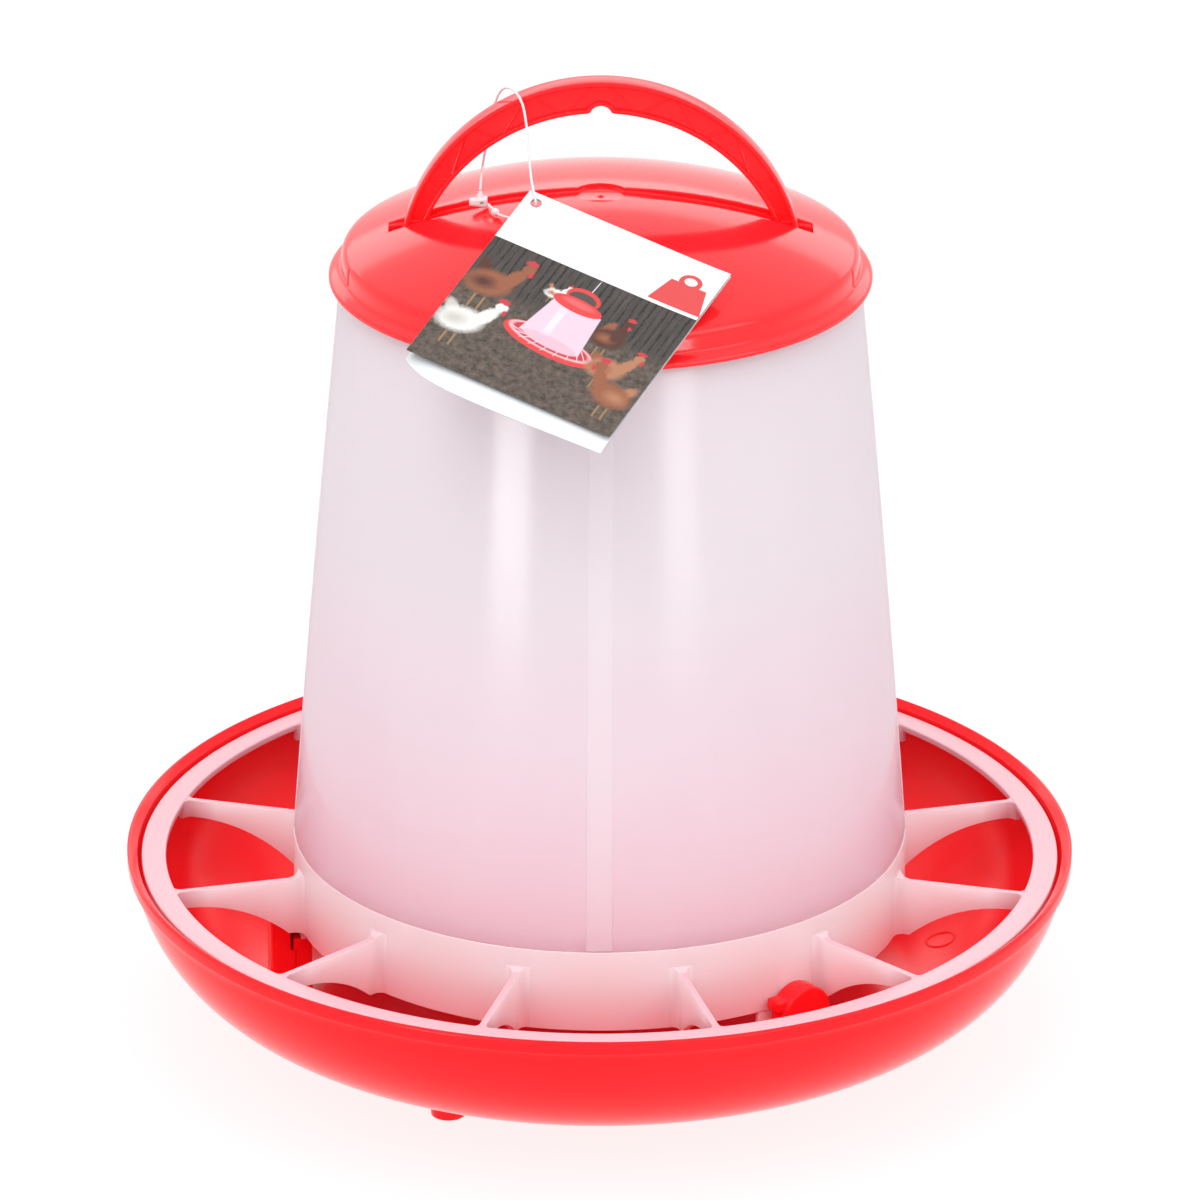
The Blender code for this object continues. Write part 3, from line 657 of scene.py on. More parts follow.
def make_grid(material):
    wall = HUB_RADIUS - HUB_WALL
    section = rounded_ring(wall, HUB_RADIUS, HUB_BOTTOM, HUB_TOP, 0.2 * MM)
    grid = turned("feeding_ring", section, FINE_TURN, closed=True)
    section = rounded_ring(RING_INNER, RING_OUTER, GRID_TOP - RING_THICKNESS, GRID_TOP, 0.4 * MM)
    ring = turned("grid_ring", section, FINE_TURN, closed=True)
    spoke_mesh = make_spoke()
    spokes = []
    for number in range(SPOKE_COUNT):
        spoke = add_object(f"spoke_{number:02d}", spoke_mesh.copy())
        azimuth = SPOKE_FIRST + number * 360.0 / SPOKE_COUNT
        spoke.data.transform(Matrix.Rotation(math.radians(azimuth), 4, "Z"))
        spokes.append(spoke)
    combine(grid, merged("spokes", spokes), "UNION")
    combine(grid, ring, "UNION")
    tabs = []
    for number in range(len(LUG_AZIMUTHS)):
        start, end = (azimuth + number * 120.0 for azimuth in TAB_AZIMUTHS)
        outline = sector(wall + 0.2 * MM, HUB_RADIUS - 0.2 * MM, start, end)
        low, high = LUG_STEP_TOP + GAP, HUB_BOTTOM + 1.0 * MM
        lift = Matrix.Translation(UP * (low + high) / 2)
        tab = plate(f"tab_{number}", outline, high - low, lift)
        start, end = (azimuth + number * 120.0 for azimuth in RIB_AZIMUTHS)
        outline = sector(HUB_RADIUS - 0.8 * MM, RIB_RADIUS, start, end)
        rib_height = 2.6 * MM
        lift = Matrix.Translation(UP * (SLOT_TOP - GAP - rib_height / 2))
        combine(tab, plate(f"rib_{number}", outline, rib_height, lift, 0.3 * MM), "UNION")
        tabs.append(tab)
    combine(grid, merged("tabs", tabs), "UNION")
    return finish_piece(grid, material, "hopper", "milky_plastic", "feed_grid")


# ---- hopper

def hopper_radius(height):
    """The hopper's outer radius: a cone with a very slight barrel."""
    start = HUB_TOP + GAP
    share = (height - start) / (HOPPER_TOP - start)
    straight = HOPPER_BOTTOM_RADIUS + share * (HOPPER_TOP_RADIUS - HOPPER_BOTTOM_RADIUS)
    return straight + 4.0 * HOPPER_BULGE * share * (1.0 - share)


def nearest(azimuth, marks):
    """The angle from an azimuth to the nearest of the marks."""
    return min(abs((azimuth - mark + 180.0) % 360.0 - 180.0) for mark in marks)


def crowded_azimuths(marks, offsets):
    """Even azimuths, with closer ones at the given offsets on both sides of each mark."""
    reach = max(offsets)
    found = [a for a in even_azimuths(FINE_TURN) if nearest(a, marks) > reach + 0.8]
    for mark in marks:
        found.append(mark % 360.0)
        for offset in offsets:
            found += [(mark + offset) % 360.0, (mark - offset) % 360.0]
    return sorted(found)


def hopper_shape(radius, height, azimuth):
    """Raises the flow strips on the outside of the wall."""
    if height < HUB_TOP + 0.3 * MM or radius < hopper_radius(height) - 0.5 * MM:
        return radius, height
    if nearest(azimuth, STRIP_AZIMUTHS) < STRIP_ANGLE:
        return radius + STRIP_HEIGHT, height
    return radius, height


def make_hopper(material):
    start = HUB_TOP + SEAM
    rings = 40
    low = start + 0.3 * MM
    high = HOPPER_TOP - 0.4 * MM
    heights = [high + (low - high) * i / rings for i in range(rings + 1)]
    spigot = HUB_RADIUS - HUB_WALL - GAP
    thin = spigot - HUB_WALL
    top = hopper_radius(HOPPER_TOP)
    profile = beside((top, HOPPER_TOP), (-0.45, 0.0), (-0.12, -0.12))
    profile += [(hopper_radius(z), z) for z in heights]
    profile += [*beside((hopper_radius(start), start), (-0.06, 0.06), (-0.2, 0.0)), (spigot, start)]
    profile += beside((spigot, SPIGOT_BOTTOM), (0.0, 0.4), (-0.4, 0.0))
    profile += beside((thin, SPIGOT_BOTTOM), (0.3, 0.0), (0.0, 0.3))
    profile += beside((thin, start), (0.0, 0.0), (0.3, 1.2))
    inner = [(hopper_radius(z) - HOPPER_WALL, z) for z in heights if z > start + 3.0 * MM]
    profile += reversed(inner)
    profile.append((top - HOPPER_WALL + 0.4 * MM, HOPPER_TOP))
    edge = 0.1
    azimuths = crowded_azimuths(
        STRIP_AZIMUTHS, (STRIP_ANGLE + edge, STRIP_ANGLE - edge, STRIP_ANGLE / 2)
    )
    hopper = turned("hopper_shell", profile, azimuths, closed=True, shape=hopper_shape)
    return finish_piece(hopper, material, "hopper", "milky_plastic", "hopper")


# ---- lid

def dome_height(radius, across):
    """Height of a sphere about the dome's centre, at a distance from the axis."""
    return DOME_CENTRE + math.sqrt(radius * radius - across * across)


def lid_profile():
    inside = DOME_RADIUS - LID_WALL
    spigot_inner = LID_SPIGOT - 1.6 * MM
    seat = HOPPER_TOP + GAP
    rings = 44
    outer = [DOME_EDGE * i / rings for i in range(rings + 1)]
    inner = [spigot_inner * (1.0 - i / rings) for i in range(rings + 1)]
    profile = [(across, dome_height(DOME_RADIUS, across)) for across in outer]
    profile += [(across * MM, height * MM) for across, height in LID_EDGE_MM]
    profile += [(SEAT_RADIUS, seat), (LID_SPIGOT, seat)]
    profile += beside((LID_SPIGOT, LID_SPIGOT_BOTTOM), (0.0, 0.4), (-0.4, 0.0))
    profile += beside((spigot_inner, LID_SPIGOT_BOTTOM), (0.3, 0.0), (0.0, 0.3))
    return profile + [(across, dome_height(inside, across)) for across in inner]


def lid_shape(radius, height, azimuth):
    """Small upright dents in the shoulder, where the catches inside the skirt were moulded."""
    if not (66.0 * MM < radius < 67.0 * MM and 210.0 * MM < height < 214.5 * MM):
        return radius, height
    away = nearest(azimuth, SHOULDER_MARKS)
    return radius - MARK_DENT * math.exp(-((away / MARK_SPREAD) ** 2)), height


def ease(value, start, end):
    """A smooth step from 0 to 1."""
    share = min(1.0, max(0.0, (value - start) / (end - start)))
    return share * share * (3.0 - 2.0 * share)


def groove_depth(across):
    """The groove is deepest where the handle stands in it."""
    inner = ease(abs(across), 4.0 * MM, 24.0 * MM)
    outer = ease(abs(across), SLOT_START + 5.0 * MM, GROOVE_END)
    to_handle = (GROOVE_DEPTH - GROOVE_MIDDLE) * inner
    return GROOVE_MIDDLE + to_handle + (GROOVE_TAIL - GROOVE_DEPTH) * outer


def groove_section(depth):
    """The groove's section, (across, up from the dome): lips that flare, rounded lower corners."""
    flare = 0.4 * MM
    corner = 0.6 * MM
    section = [(GROOVE_HALF + 3.0 * MM, 1.2 * MM)]
    for i in range(1, 7):
        angle = math.radians(15.0 * i)
        across = GROOVE_HALF + flare * (1.0 - math.sin(angle))
        section.append((across, flare * (math.cos(angle) - 1.0)))
    section += arc((GROOVE_HALF - corner, corner - depth), corner, 0.0, -90.0, 5)
    return section + [(-across, up) for across, up in reversed(section)]


def groove_cutter():
    """A channel along X that follows the dome."""
    reach = math.asin(GROOVE_END / DOME_RADIUS)
    steps = 120
    rings = []
    for i in range(steps + 1):
        angle = reach * (2.0 * i / steps - 1.0)
        out = Vector((math.sin(angle), 0.0, math.cos(angle)))
        ring = []
        for y, up in groove_section(groove_depth(DOME_RADIUS * math.sin(angle))):
            ring.append(UP * DOME_CENTRE + out * (DOME_RADIUS + up) + Vector((0.0, y, 0.0)))
        rings.append(ring)
    return lofted("groove", rings)


def dome_line(radius, reach):
    """Points (across, up) from left to right over the lid, at a distance from the dome's centre."""
    steps = 40
    spots = [reach * (2.0 * i / steps - 1.0) for i in range(steps + 1)]
    return [(across, dome_height(radius, across)) for across in spots]


def recess_cutter():
    floor = LID_TOP - RECESS_DEPTH
    profile = [(0.0, LID_TOP + 4.0 * MM)]
    profile += beside((RECESS_RADIUS, LID_TOP), (2.5, 1.0), (0.35, -0.12), (0.12, -0.3))
    profile += beside((RECESS_RADIUS, floor), (0.0, 0.25), (-0.25, 0.0))
    profile.append((0.0, floor))
    return turned("recess", profile, 96)


def make_lid(material):
    azimuths = crowded_azimuths(SHOULDER_MARKS, (0.3, 0.6, 0.95, 1.4))
    lid = turned("lid_dome", lid_profile(), azimuths, shape=lid_shape)
    floor = DOME_RADIUS - GROOVE_DEPTH
    outline = dome_line(DOME_RADIUS - 1.0 * MM, TROUGH_END)
    outline += reversed(dome_line(floor - GROOVE_WALL, TROUGH_END))
    width = 2.0 * (GROOVE_HALF + GROOVE_WALL)
    combine(lid, plate("trough", outline, width, UPRIGHT, 0.4 * MM), "UNION")
    combine(lid, recess_cutter(), "DIFFERENCE")
    combine(lid, groove_cutter(), "DIFFERENCE")
    slots = []
    for side, name in ((1.0, "right"), (-1.0, "left")):
        near, far = sorted((side * SLOT_START, side * (GROOVE_END - 0.1 * MM)))
        low = (near, -SLOT_WIDTH / 2, 211.0 * MM)
        high = (far, SLOT_WIDTH / 2, 223.0 * MM)
        slots.append(block(f"slot_{name}", low, high, Matrix(), 0.3 * MM, 2))
    combine(lid, merged("slots", slots), "DIFFERENCE")
    bump = beside((0.0, 0.0), (0.0, 0.45), (0.35, 0.4), (0.75, 0.15), (1.1, -0.4), (0.0, -0.4))
    gate = turned("gate_mark", bump, SMALL_TURN)
    gate.data.transform(Matrix.Translation(UP * (LID_TOP - GROOVE_MIDDLE)))
    combine(lid, gate, "UNION")
    return finish_piece(lid, material, "lid", "red_plastic", "lid")


# ---- handle

def meet_floor(arch):
    """Where one arc of the handle meets a line just above the floor of the lid's groove."""
    radius, centre = arch
    floor = DOME_RADIUS - GROOVE_DEPTH + GAP
    over = radius * radius - floor * floor + DOME_CENTRE * DOME_CENTRE - centre * centre
    height = over / (2.0 * (DOME_CENTRE - centre))
    return math.sqrt(radius * radius - (height - centre) ** 2), height


def smaller(arch, amount):
    return arch[0] - amount, arch[1]


def on_arch(arch, angle):
    """The point (across, up) at an angle on an arc of the handle."""
    radius, centre = arch
    turn = math.radians(angle)
    return Vector((radius * math.cos(turn), centre + radius * math.sin(turn)))


def handle_beam():
    """The handle's I-shaped section along the arch; its flange and lip follow different arcs."""
    flange = rounded_ring(0.0, FLANGE, -HANDLE_WIDTH / 2, HANDLE_WIDTH / 2, 0.35 * MM)
    lip = rounded_ring(-LIP, 0.0, -HANDLE_LIP / 2, HANDLE_LIP / 2, 0.3 * MM)
    corner = len(flange) // 4
    half = HANDLE_WEB / 2
    section = [(HANDLE_OUTER, spot) for spot in [*flange[:corner], (FLANGE, half)]]
    lower = [(-LIP, half), *lip[-corner:], *lip[:-corner], (-LIP, -half)]
    section += [(HANDLE_INNER, spot) for spot in lower]
    section += [(HANDLE_OUTER, spot) for spot in [(FLANGE, -half), *flange[corner:]]]
    lines = []
    for arch, (inward, y) in section:
        here = smaller(arch, inward)
        start = math.degrees(math.asin((meet_floor(here)[1] - here[1]) / here[0]))
        spots = arc((0.0, here[1]), here[0], start, 180.0 - start, ARCH_STEPS)
        lines.append([Vector((across, y, up)) for across, up in spots])
    return lofted("carry_handle", list(zip(*lines)))


def make_ribs():
    """Low slanted ribs that zigzag between the flange and the lip, on both sides of the web."""
    outer = smaller(HANDLE_OUTER, FLANGE - 0.4 * MM)
    inner = smaller(HANDLE_INNER, -LIP + 0.4 * MM)
    facing = Vector((0.0, -1.0, 0.0))
    ribs = []
    for side in (1.0, -1.0):
        for number in range(RIB_COUNT):
            near = 90.0 - side * (RIB_START + RIB_STEP * number)
            far = near - side * (RIB_STEP - RIB_SPLIT)
            ends = (inner, outer) if number % 2 else (outer, inner)
            start, end = on_arch(ends[0], near), on_arch(ends[1], far)
            along = Vector((end.x - start.x, 0.0, end.y - start.y)).normalized()
            lie = axes(along, facing.cross(along), facing, (start.x, 0.0, start.y))
            thick = HANDLE_WEB / 2 + RIB_PROUD
            low = (0.0, -RIB_WIDTH / 2, -thick)
            high = ((end - start).length, RIB_WIDTH / 2, thick)
            ribs.append(block(f"rib_{side:.0f}_{number}", low, high, lie, 0.15 * MM, 2))
    return ribs


def make_barbs():
    """The barbed feet that hold the handle's ends in the lid's slots."""
    across, height = meet_floor(HANDLE_INNER)
    near = across + FOOT_INSET
    far = near + FOOT_NECK
    reaches = (near, near, far, far + BARB, far + BARB, far)
    levels = [height + level_shade_mask * MM for level_shade_mask in FOOT_LEVELS_MM]
    outline = [*zip(reaches, levels), (far, levels[0])]
    mirrored = [(-x, z) for x, z in reversed(outline)]
    sides = (("barb_right", outline), ("barb_left", mirrored))
    return [plate(name, side, FOOT_NECK, UPRIGHT, 0.3 * MM) for name, side in sides]


def make_handle(material):
    handle = handle_beam()
    inner_top = HANDLE_INNER[0] + HANDLE_INNER[1]
    notch_centre = inner_top + NOTCH_DEPTH - NOTCH_RADIUS
    collar = arc((0.0, notch_centre), NOTCH_RADIUS + COLLAR, 15.0, 165.0, 24)
    added = [*make_ribs(), *make_barbs(), plate("collar", collar, COLLAR_WIDTH, UPRIGHT, 0.25 * MM)]
    combine(handle, merged("handle_additions", added), "UNION")
    cutter = arc((0.0, notch_centre), NOTCH_RADIUS, 24.0, 156.0, 30)
    low = notch_centre - NOTCH_RADIUS
    cutter += [(-NOTCH_RADIUS - 1.0 * MM, inner_top - 0.35 * MM), (-NOTCH_RADIUS - 1.0 * MM, low)]
    cutter += [(NOTCH_RADIUS + 1.0 * MM, low), (NOTCH_RADIUS + 1.0 * MM, inner_top - 0.35 * MM)]
    combine(handle, plate("notch", cutter, 2.0 * HANDLE_WIDTH, UPRIGHT), "DIFFERENCE")
    return finish_piece(handle, material, "lid", "red_plastic", "handle")


# ---- leaflet and its loop

def tag_axes():
    """The leaflet's frame: X along its top edge, Y up its face, Z out of its printed side."""
    across = Vector((1.0, 0.0, 0.0))
    down = Vector((0.0, -math.cos(TAG_SLOPE), -math.sin(TAG_SLOPE)))
    top_edge = across * math.cos(TAG_TURN) + down * math.sin(TAG_TURN)
    up_face = across * math.sin(TAG_TURN) - down * math.cos(TAG_TURN)
    return axes(top_edge, up_face, top_edge.cross(up_face), TAG_CENTRE)


def make_leaf(name, low_edge, surface, material):
    """A thin sheet over the leaflet's width, from its low edge to its top, with a hole in it."""
    columns, rows = 48, 52
    half = TAG_WIDTH / 2
    top = TAG_HEIGHT / 2
    points = []
    for side in (1.0, -1.0):
        for i in range(columns + 1):
            across = TAG_WIDTH * i / columns - half
            low = low_edge(across)
            for j in range(rows + 1):
                up = low + (top - low) * j / rows
                out = surface(across, up) + side * LEAF_THICKNESS / 2
                points.append(Vector((across, up, out)))
    sheet_points = (columns + 1) * (rows + 1)
    faces = []
    for i in range(columns):
        for j in range(rows):
            a = i * (rows + 1) + j
            quad = [a, a + rows + 1, a + rows + 2, a + 1]
            faces.append(quad)
            faces.append([sheet_points + k for k in reversed(quad)])
    border = [i * (rows + 1) for i in range(columns + 1)]
    border += [columns * (rows + 1) + j for j in range(1, rows + 1)]
    border += [i * (rows + 1) + rows for i in range(columns - 1, -1, -1)]
    border += range(rows - 1, 0, -1)
    for k, here in enumerate(border):
        there = border[(k + 1) % len(border)]
        faces.append([here, sheet_points + here, sheet_points + there, there])
    leaf = from_faces(name, points, faces)
    spot = Matrix.Translation((*TAG_HOLE, 0.0))
    reach = 8.0 * MM
    combine(leaf, rounded_bar("hole", TAG_HOLE_RADIUS, -reach, reach, 0.2 * MM, spot), "DIFFERENCE")
    add_face_map(leaf)
    leaf.data.transform(tag_axes())
    return finish_piece(leaf, material, "lid", "printed_paper")


def add_face_map(leaf):
    """A UV map in millimetres from the middle of the leaflet's face, for the print."""
    layer = leaf.data.uv_layers.new(name="face_mm")
    for loop in leaf.data.loops:
        spot = leaf.data.vertices[loop.vertex_index].co
        layer.data[loop.index].uv = (spot.x / MM, spot.y / MM)


def make_leaflet(front_material, back_material):
    half = TAG_WIDTH / 2
    bottom = -TAG_HEIGHT / 2

    def front_surface(across, up):
        lift = max(0.0, (across / half - 0.55) / 0.45) ** 2
        return 0.35 * MM + 0.35 * MM * lift

    def back_edge(across):
        share = (across + half) / TAG_WIDTH
        drop = 6.3 * (1.0 - math.exp(-share / 0.13)) - 2.2 * share
        return bottom - (0.4 + drop) * MM

    def back_surface(across, up):
        share = (across + half) / TAG_WIDTH
        curl = math.exp(-share / 0.16) * max(0.0, (bottom + 16.0 * MM - up) / (20.0 * MM))
        sag = max(0.0, (bottom + 12.0 * MM - up) / (20.0 * MM)) ** 2
        return -0.3 * MM - 3.0 * MM * curl ** 1.5 - 1.2 * MM * sag

    front = make_leaf("leaflet_front", lambda across: bottom, front_surface, front_material)
    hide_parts("hang_tag")
    make_leaf("leaflet_back", back_edge, back_surface, back_material)


def smooth_route(points, samples):
    """Points read evenly off a smooth curve that passes through the given ones."""
    ends = [points[0] * 2.0 - points[1], points[-1] * 2.0 - points[-2]]
    padded = [ends[0], *points, ends[1]]
    spans = len(points) - 1
    route = []
    for i in range(samples + 1):
        place = min(i * spans / samples, spans - TINY)
        span = int(place)
        t = place - span
        a, b, c, d = padded[span:span + 4]
        route.append(
            (b * 2.0 + (c - a) * t + (a * 2.0 - b * 5.0 + c * 4.0 - d) * t * t
             + (b * 3.0 - a - c * 3.0 + d) * t * t * t) * 0.5
        )
    return route


def make_string(material):
    points = smooth_route([Vector(p) * MM for p in STRING_ROUTE_MM], STRING_SAMPLES)
    curve = bpy.data.curves.new("leaflet_string", "CURVE")
    curve.dimensions = "3D"
    curve.bevel_depth = STRING_RADIUS
    curve.bevel_resolution = 4
    curve.use_fill_caps = True
    spline = curve.splines.new("POLY")
    spline.points.add(len(points) - 1)
    for point, spot in zip(spline.points, points):
        point.co = (*spot, 1.0)
    spline.use_smooth = True
    string = add_object("leaflet_string", curve)
    length = sum((b - a).length for a, b in zip(points, points[1:]))
    return finish_piece(string, material, "lid", "white_nylon", "tag_string"), length


def make_lock(material):
    """The lock head: a rounded box with a cone-shaped nipple and a small hole in its face."""
    half = [size / 2 for size in LOCK_SIZE]
    place = Matrix.Translation(LOCK_CENTRE)
    lock = block("string_lock", [-size for size in half], half, Matrix(), 0.45 * MM)
    for vertex in lock.data.vertices:
        share = (vertex.co.x + half[0]) / (2.0 * half[0])
        vertex.co.z *= LOCK_TAPER + (1.0 - LOCK_TAPER) * share
        vertex.co.y *= 0.5 * (1.0 + LOCK_TAPER + (1.0 - LOCK_TAPER) * share)
    lock.data.transform(place)
    start = Vector(STRING_ROUTE_MM[0]) * MM
    foot = Vector((start.x, start.y, LOCK_CENTRE.z + half[2] - 0.75 * MM))
    height = start.z - foot.z - GAP
    profile = [(0.0, height), *beside((STRING_RADIUS, height), (0.05, 0.0), (0.12, -0.2))]
    profile += beside((0.0, 0.0), (0.8, 1.2), (1.25, 0.5), (1.4, 0.0), (0.0, 0.0))
    nipple = turned("nipple", profile, 24)
    nipple.data.transform(Matrix.Translation(foot))
    combine(lock, nipple, "UNION")
    face = Matrix.Translation(LOCK_CENTRE + Vector((0.9 * MM, 0.0, 0.1 * MM))) @ UPRIGHT
    hole = rounded_bar("lock_hole", 0.45 * MM, -3.0 * MM, 3.0 * MM, 0.1 * MM, face, 20)
    combine(lock, hole, "DIFFERENCE")
    return finish_piece(lock, material, "lid", "white_nylon", "tag_string_lock")


def make_tail(material):
    """The bead and thin neck between the end of the string and the lock."""
    end = Vector(STRING_ROUTE_MM[-1]) * MM
    before = Vector(STRING_ROUTE_MM[-2]) * MM
    corner = LOCK_CENTRE + Vector((LOCK_SIZE[0] / 2, -LOCK_SIZE[1] / 2, 0.0))
    top = end + (end - before).normalized() * GAP
    bottom = corner + (top - corner).normalized() * 0.7 * MM
    length = (top - bottom).length
    middle = length - BEAD_LENGTH / 2
    profile = [(0.0, length + 0.1 * MM), (TAIL_NECK, length)]
    for i in range(9):
        angle = math.radians(150.0 - 15.0 * i) - math.pi / 2
        wide = TAIL_NECK + (BEAD_RADIUS - TAIL_NECK) * math.cos(angle)
        profile.append((wide, middle + BEAD_LENGTH / 2 * math.sin(angle)))
    profile += [(TAIL_NECK, length - BEAD_LENGTH), (TAIL_NECK, 0.0), (0.0, 0.0)]
    tail = turned("string_tail", profile, 24)
    turn = (top - bottom).to_track_quat("Z", "Y").to_matrix().to_4x4()
    tail.data.transform(Matrix.Translation(bottom) @ turn)
    return finish_piece(tail, material, "lid", "white_nylon", "tag_string_tail")


# ---- materials

class Graph:
    """Adds nodes to a material and joins them, so that each material reads as a short recipe."""

    def __init__(self, name):
        self.material = bpy.data.materials.new(name)
        self.material.use_nodes = True
        self.tree = self.material.node_tree
        self.shader = self.tree.nodes["Principled BSDF"]
        self.output = self.tree.nodes["Material Output"]

    def put(self, value, socket):
        """Joins another node's output to a socket, or sets it; a colour is red, green, blue."""
        if isinstance(value, bpy.types.NodeSocket):
            self.tree.links.new(value, socket)
        else:
            socket.default_value = (*value, 1.0) if socket.type == "RGBA" else value

    def node(self, kind, output=0, inputs=(), **settings):
        """A node with its settings and inputs; returns one of its outputs."""
        made = self.tree.nodes.new(kind)
        for key, value in settings.items():
            setattr(made, key, value)
        for key, value in dict(inputs).items():
            self.put(value, made.inputs[key])
        return made.outputs[output]

    def place(self):
        return self.node("ShaderNodeTexCoord", "Object")

    def noise(self, scale, detail=2.0, vector=None, roughness=0.5):
        inputs = {"Scale": scale, "Detail": detail, "Roughness": roughness}
        inputs["Vector"] = vector or self.place()
        return self.node("ShaderNodeTexNoise", "Fac", inputs)

    def split(self, vector):
        """The X, Y and Z outputs of a vector."""
        made = self.tree.nodes.new("ShaderNodeSeparateXYZ")
        self.put(vector, made.inputs["Vector"])
        return made.outputs

    def span(self, value, low, high, first=0.0, second=1.0):
        """Maps a value from one range to another, kept inside it."""
        inputs = {"Value": value, "From Min": low, "From Max": high, "To Min": first, "To Max": second}
        return self.node("ShaderNodeMapRange", "Result", inputs)

    def math(self, operation, first, second=0.0):
        return self.node("ShaderNodeMath", 0, {0: first, 1: second}, operation=operation)

    def length(self, vector):
        return self.node("ShaderNodeVectorMath", "Value", {0: vector}, operation="LENGTH")

    def scaled(self, vector, *scale):
        return self.node("ShaderNodeMapping", 0, {"Vector": vector, "Scale": scale})

    def mix(self, share, first, second, blend="MIX"):
        """A colour between two others, or the first one multiplied by the second."""
        inputs = {0: share, 6: first, 7: second}
        return self.node("ShaderNodeMix", 2, inputs, data_type="RGBA", blend_type=blend)

    def set(self, **values):
        for key, value in values.items():
            self.put(value, self.shader.inputs[key.replace("_", " ")])

    def bump(self, height, distance):
        inputs = {"Height": height, "Distance": distance}
        self.put(self.node("ShaderNodeBump", "Normal", inputs), self.shader.inputs["Normal"])


def red_plastic(name, roughness, specular):
    """Glossy moulded polypropylene: faint flow clouds, a fine satin grain and hairline scuffs."""
    g = Graph(name)
    clouds = g.noise(22.0, 3.0)
    fine = g.noise(900.0, 2.0)
    scuffs = g.noise(260.0, 5.0, roughness=0.7)
    tone = g.mix(g.span(clouds, 0.3, 0.7), (0.95, 0.010, 0.015), (0.98, 0.013, 0.019))
    worn = g.span(scuffs, 0.62, 0.75, 0.0, 0.06)
    g.set(Base_Color=g.mix(worn, tone, (0.95, 0.03, 0.035)))
    g.set(Roughness=g.math("ADD", g.span(fine, 0.3, 0.7, roughness - 0.02, roughness + 0.03), worn))
    g.set(IOR=1.46, Specular_IOR_Level=specular)
    g.bump(g.noise(90.0, 1.0), 0.00003)
    return g.material


def milky_plastic(name, top, bottom, glow_fade, clear, specular, strips=0.0, rim_shade=None):
    """Natural polypropylene: cloudy and translucent, with flow streaks from top to bottom.

    It fades from one tone to another between two heights; the lower tone is a painted pink glow, the
    red light that the tray casts up. clear is the share of light that passes through, strips is how
    pale the flow strips are, and the last argument is a painted shade, tinted by the tray's red glow,
    laid on the level surfaces and on everything as far out as the feeding ring's rim.
    """
    g = Graph(name)
    spot = g.split(g.place())
    streaks = g.noise(60.0, 3.0, g.scaled(g.place(), 1.0, 1.0, 0.12))
    clouds = g.noise(30.0, 3.0)
    fine = g.noise(180.0, 2.0)
    # painted pink glow: the lower tone stands in for the red light that the tray casts up into the
    # plastic
    base = g.mix(g.span(spot["Z"], *glow_fade), bottom, top)
    paler = g.mix(0.5, base, (0.97, 0.93, 0.96))
    cloudy = g.mix(g.span(clouds, 0.3, 0.75, 0.0, 0.35), base, paler)
    streaked = g.mix(g.span(streaks, 0.35, 0.7, 0.0, 0.25), cloudy, paler)
    beside = g.math("MINIMUM", *[g.math("ABSOLUTE", spot[axis]) for axis in "XY"])
    strip = g.span(beside, STRIP_HALF - 0.5 * MM, STRIP_HALF, strips, 0.0)
    tone = g.mix(strip, streaked, (1.0, 0.97, 0.99))
    # painted shade, tinted by the tray's red glow: a darker pink on the level surfaces and out on the
    # feeding ring's rim
    if rim_shade:
        outer = g.span(g.length(g.scaled(g.place(), 1.0, 1.0, 0.0)), *RIM_SHADE_FADE)
        level_shade_mask = g.span(g.split(g.node("ShaderNodeNewGeometry", "Normal"))["Z"], 0.5, 0.9)
        tone = g.mix(g.math("MAXIMUM", outer, level_shade_mask), tone, rim_shade)
    g.set(Base_Color=tone, IOR=1.49, Specular_IOR_Level=specular)
    g.set(Roughness=g.span(fine, 0.3, 0.7, 0.15, 0.2))
    g.bump(g.noise(70.0, 1.0), 0.00002)
    through = g.node("ShaderNodeBsdfTranslucent", "BSDF", {"Color": tone})
    both = g.node("ShaderNodeMixShader", 0, {0: clear, 1: g.shader.outputs["BSDF"], 2: through})
    g.put(both, g.output.inputs["Surface"])
    return g.material


def nylon():
    """Smooth white nylon with a faint waviness from moulding."""
    g = Graph("white_nylon")
    clouds = g.noise(600.0, 2.0)
    g.set(Base_Color=g.mix(clouds, (0.60, 0.55, 0.57), (0.68, 0.63, 0.66)))
    g.set(Roughness=g.span(clouds, 0.3, 0.7, 0.3, 0.42), IOR=1.53)
    g.set(Subsurface_Weight=0.15, Subsurface_Scale=0.0008)
    g.bump(g.noise(1500.0, 1.0), 0.00002)
    return g.material


def paper(name):
    """Plain coated paper: near white, with faint fibres."""
    g = Graph(name)
    fibres = g.noise(1800.0, 4.0)
    clouds = g.noise(60.0, 2.0)
    tone = g.mix(g.span(clouds, 0.3, 0.7), (0.60, 0.625, 0.65), (0.66, 0.675, 0.69))
    g.set(Base_Color=tone, Roughness=g.span(fibres, 0.3, 0.7, 0.38, 0.5), IOR=1.45)
    g.bump(fibres, 0.00001)
    return g


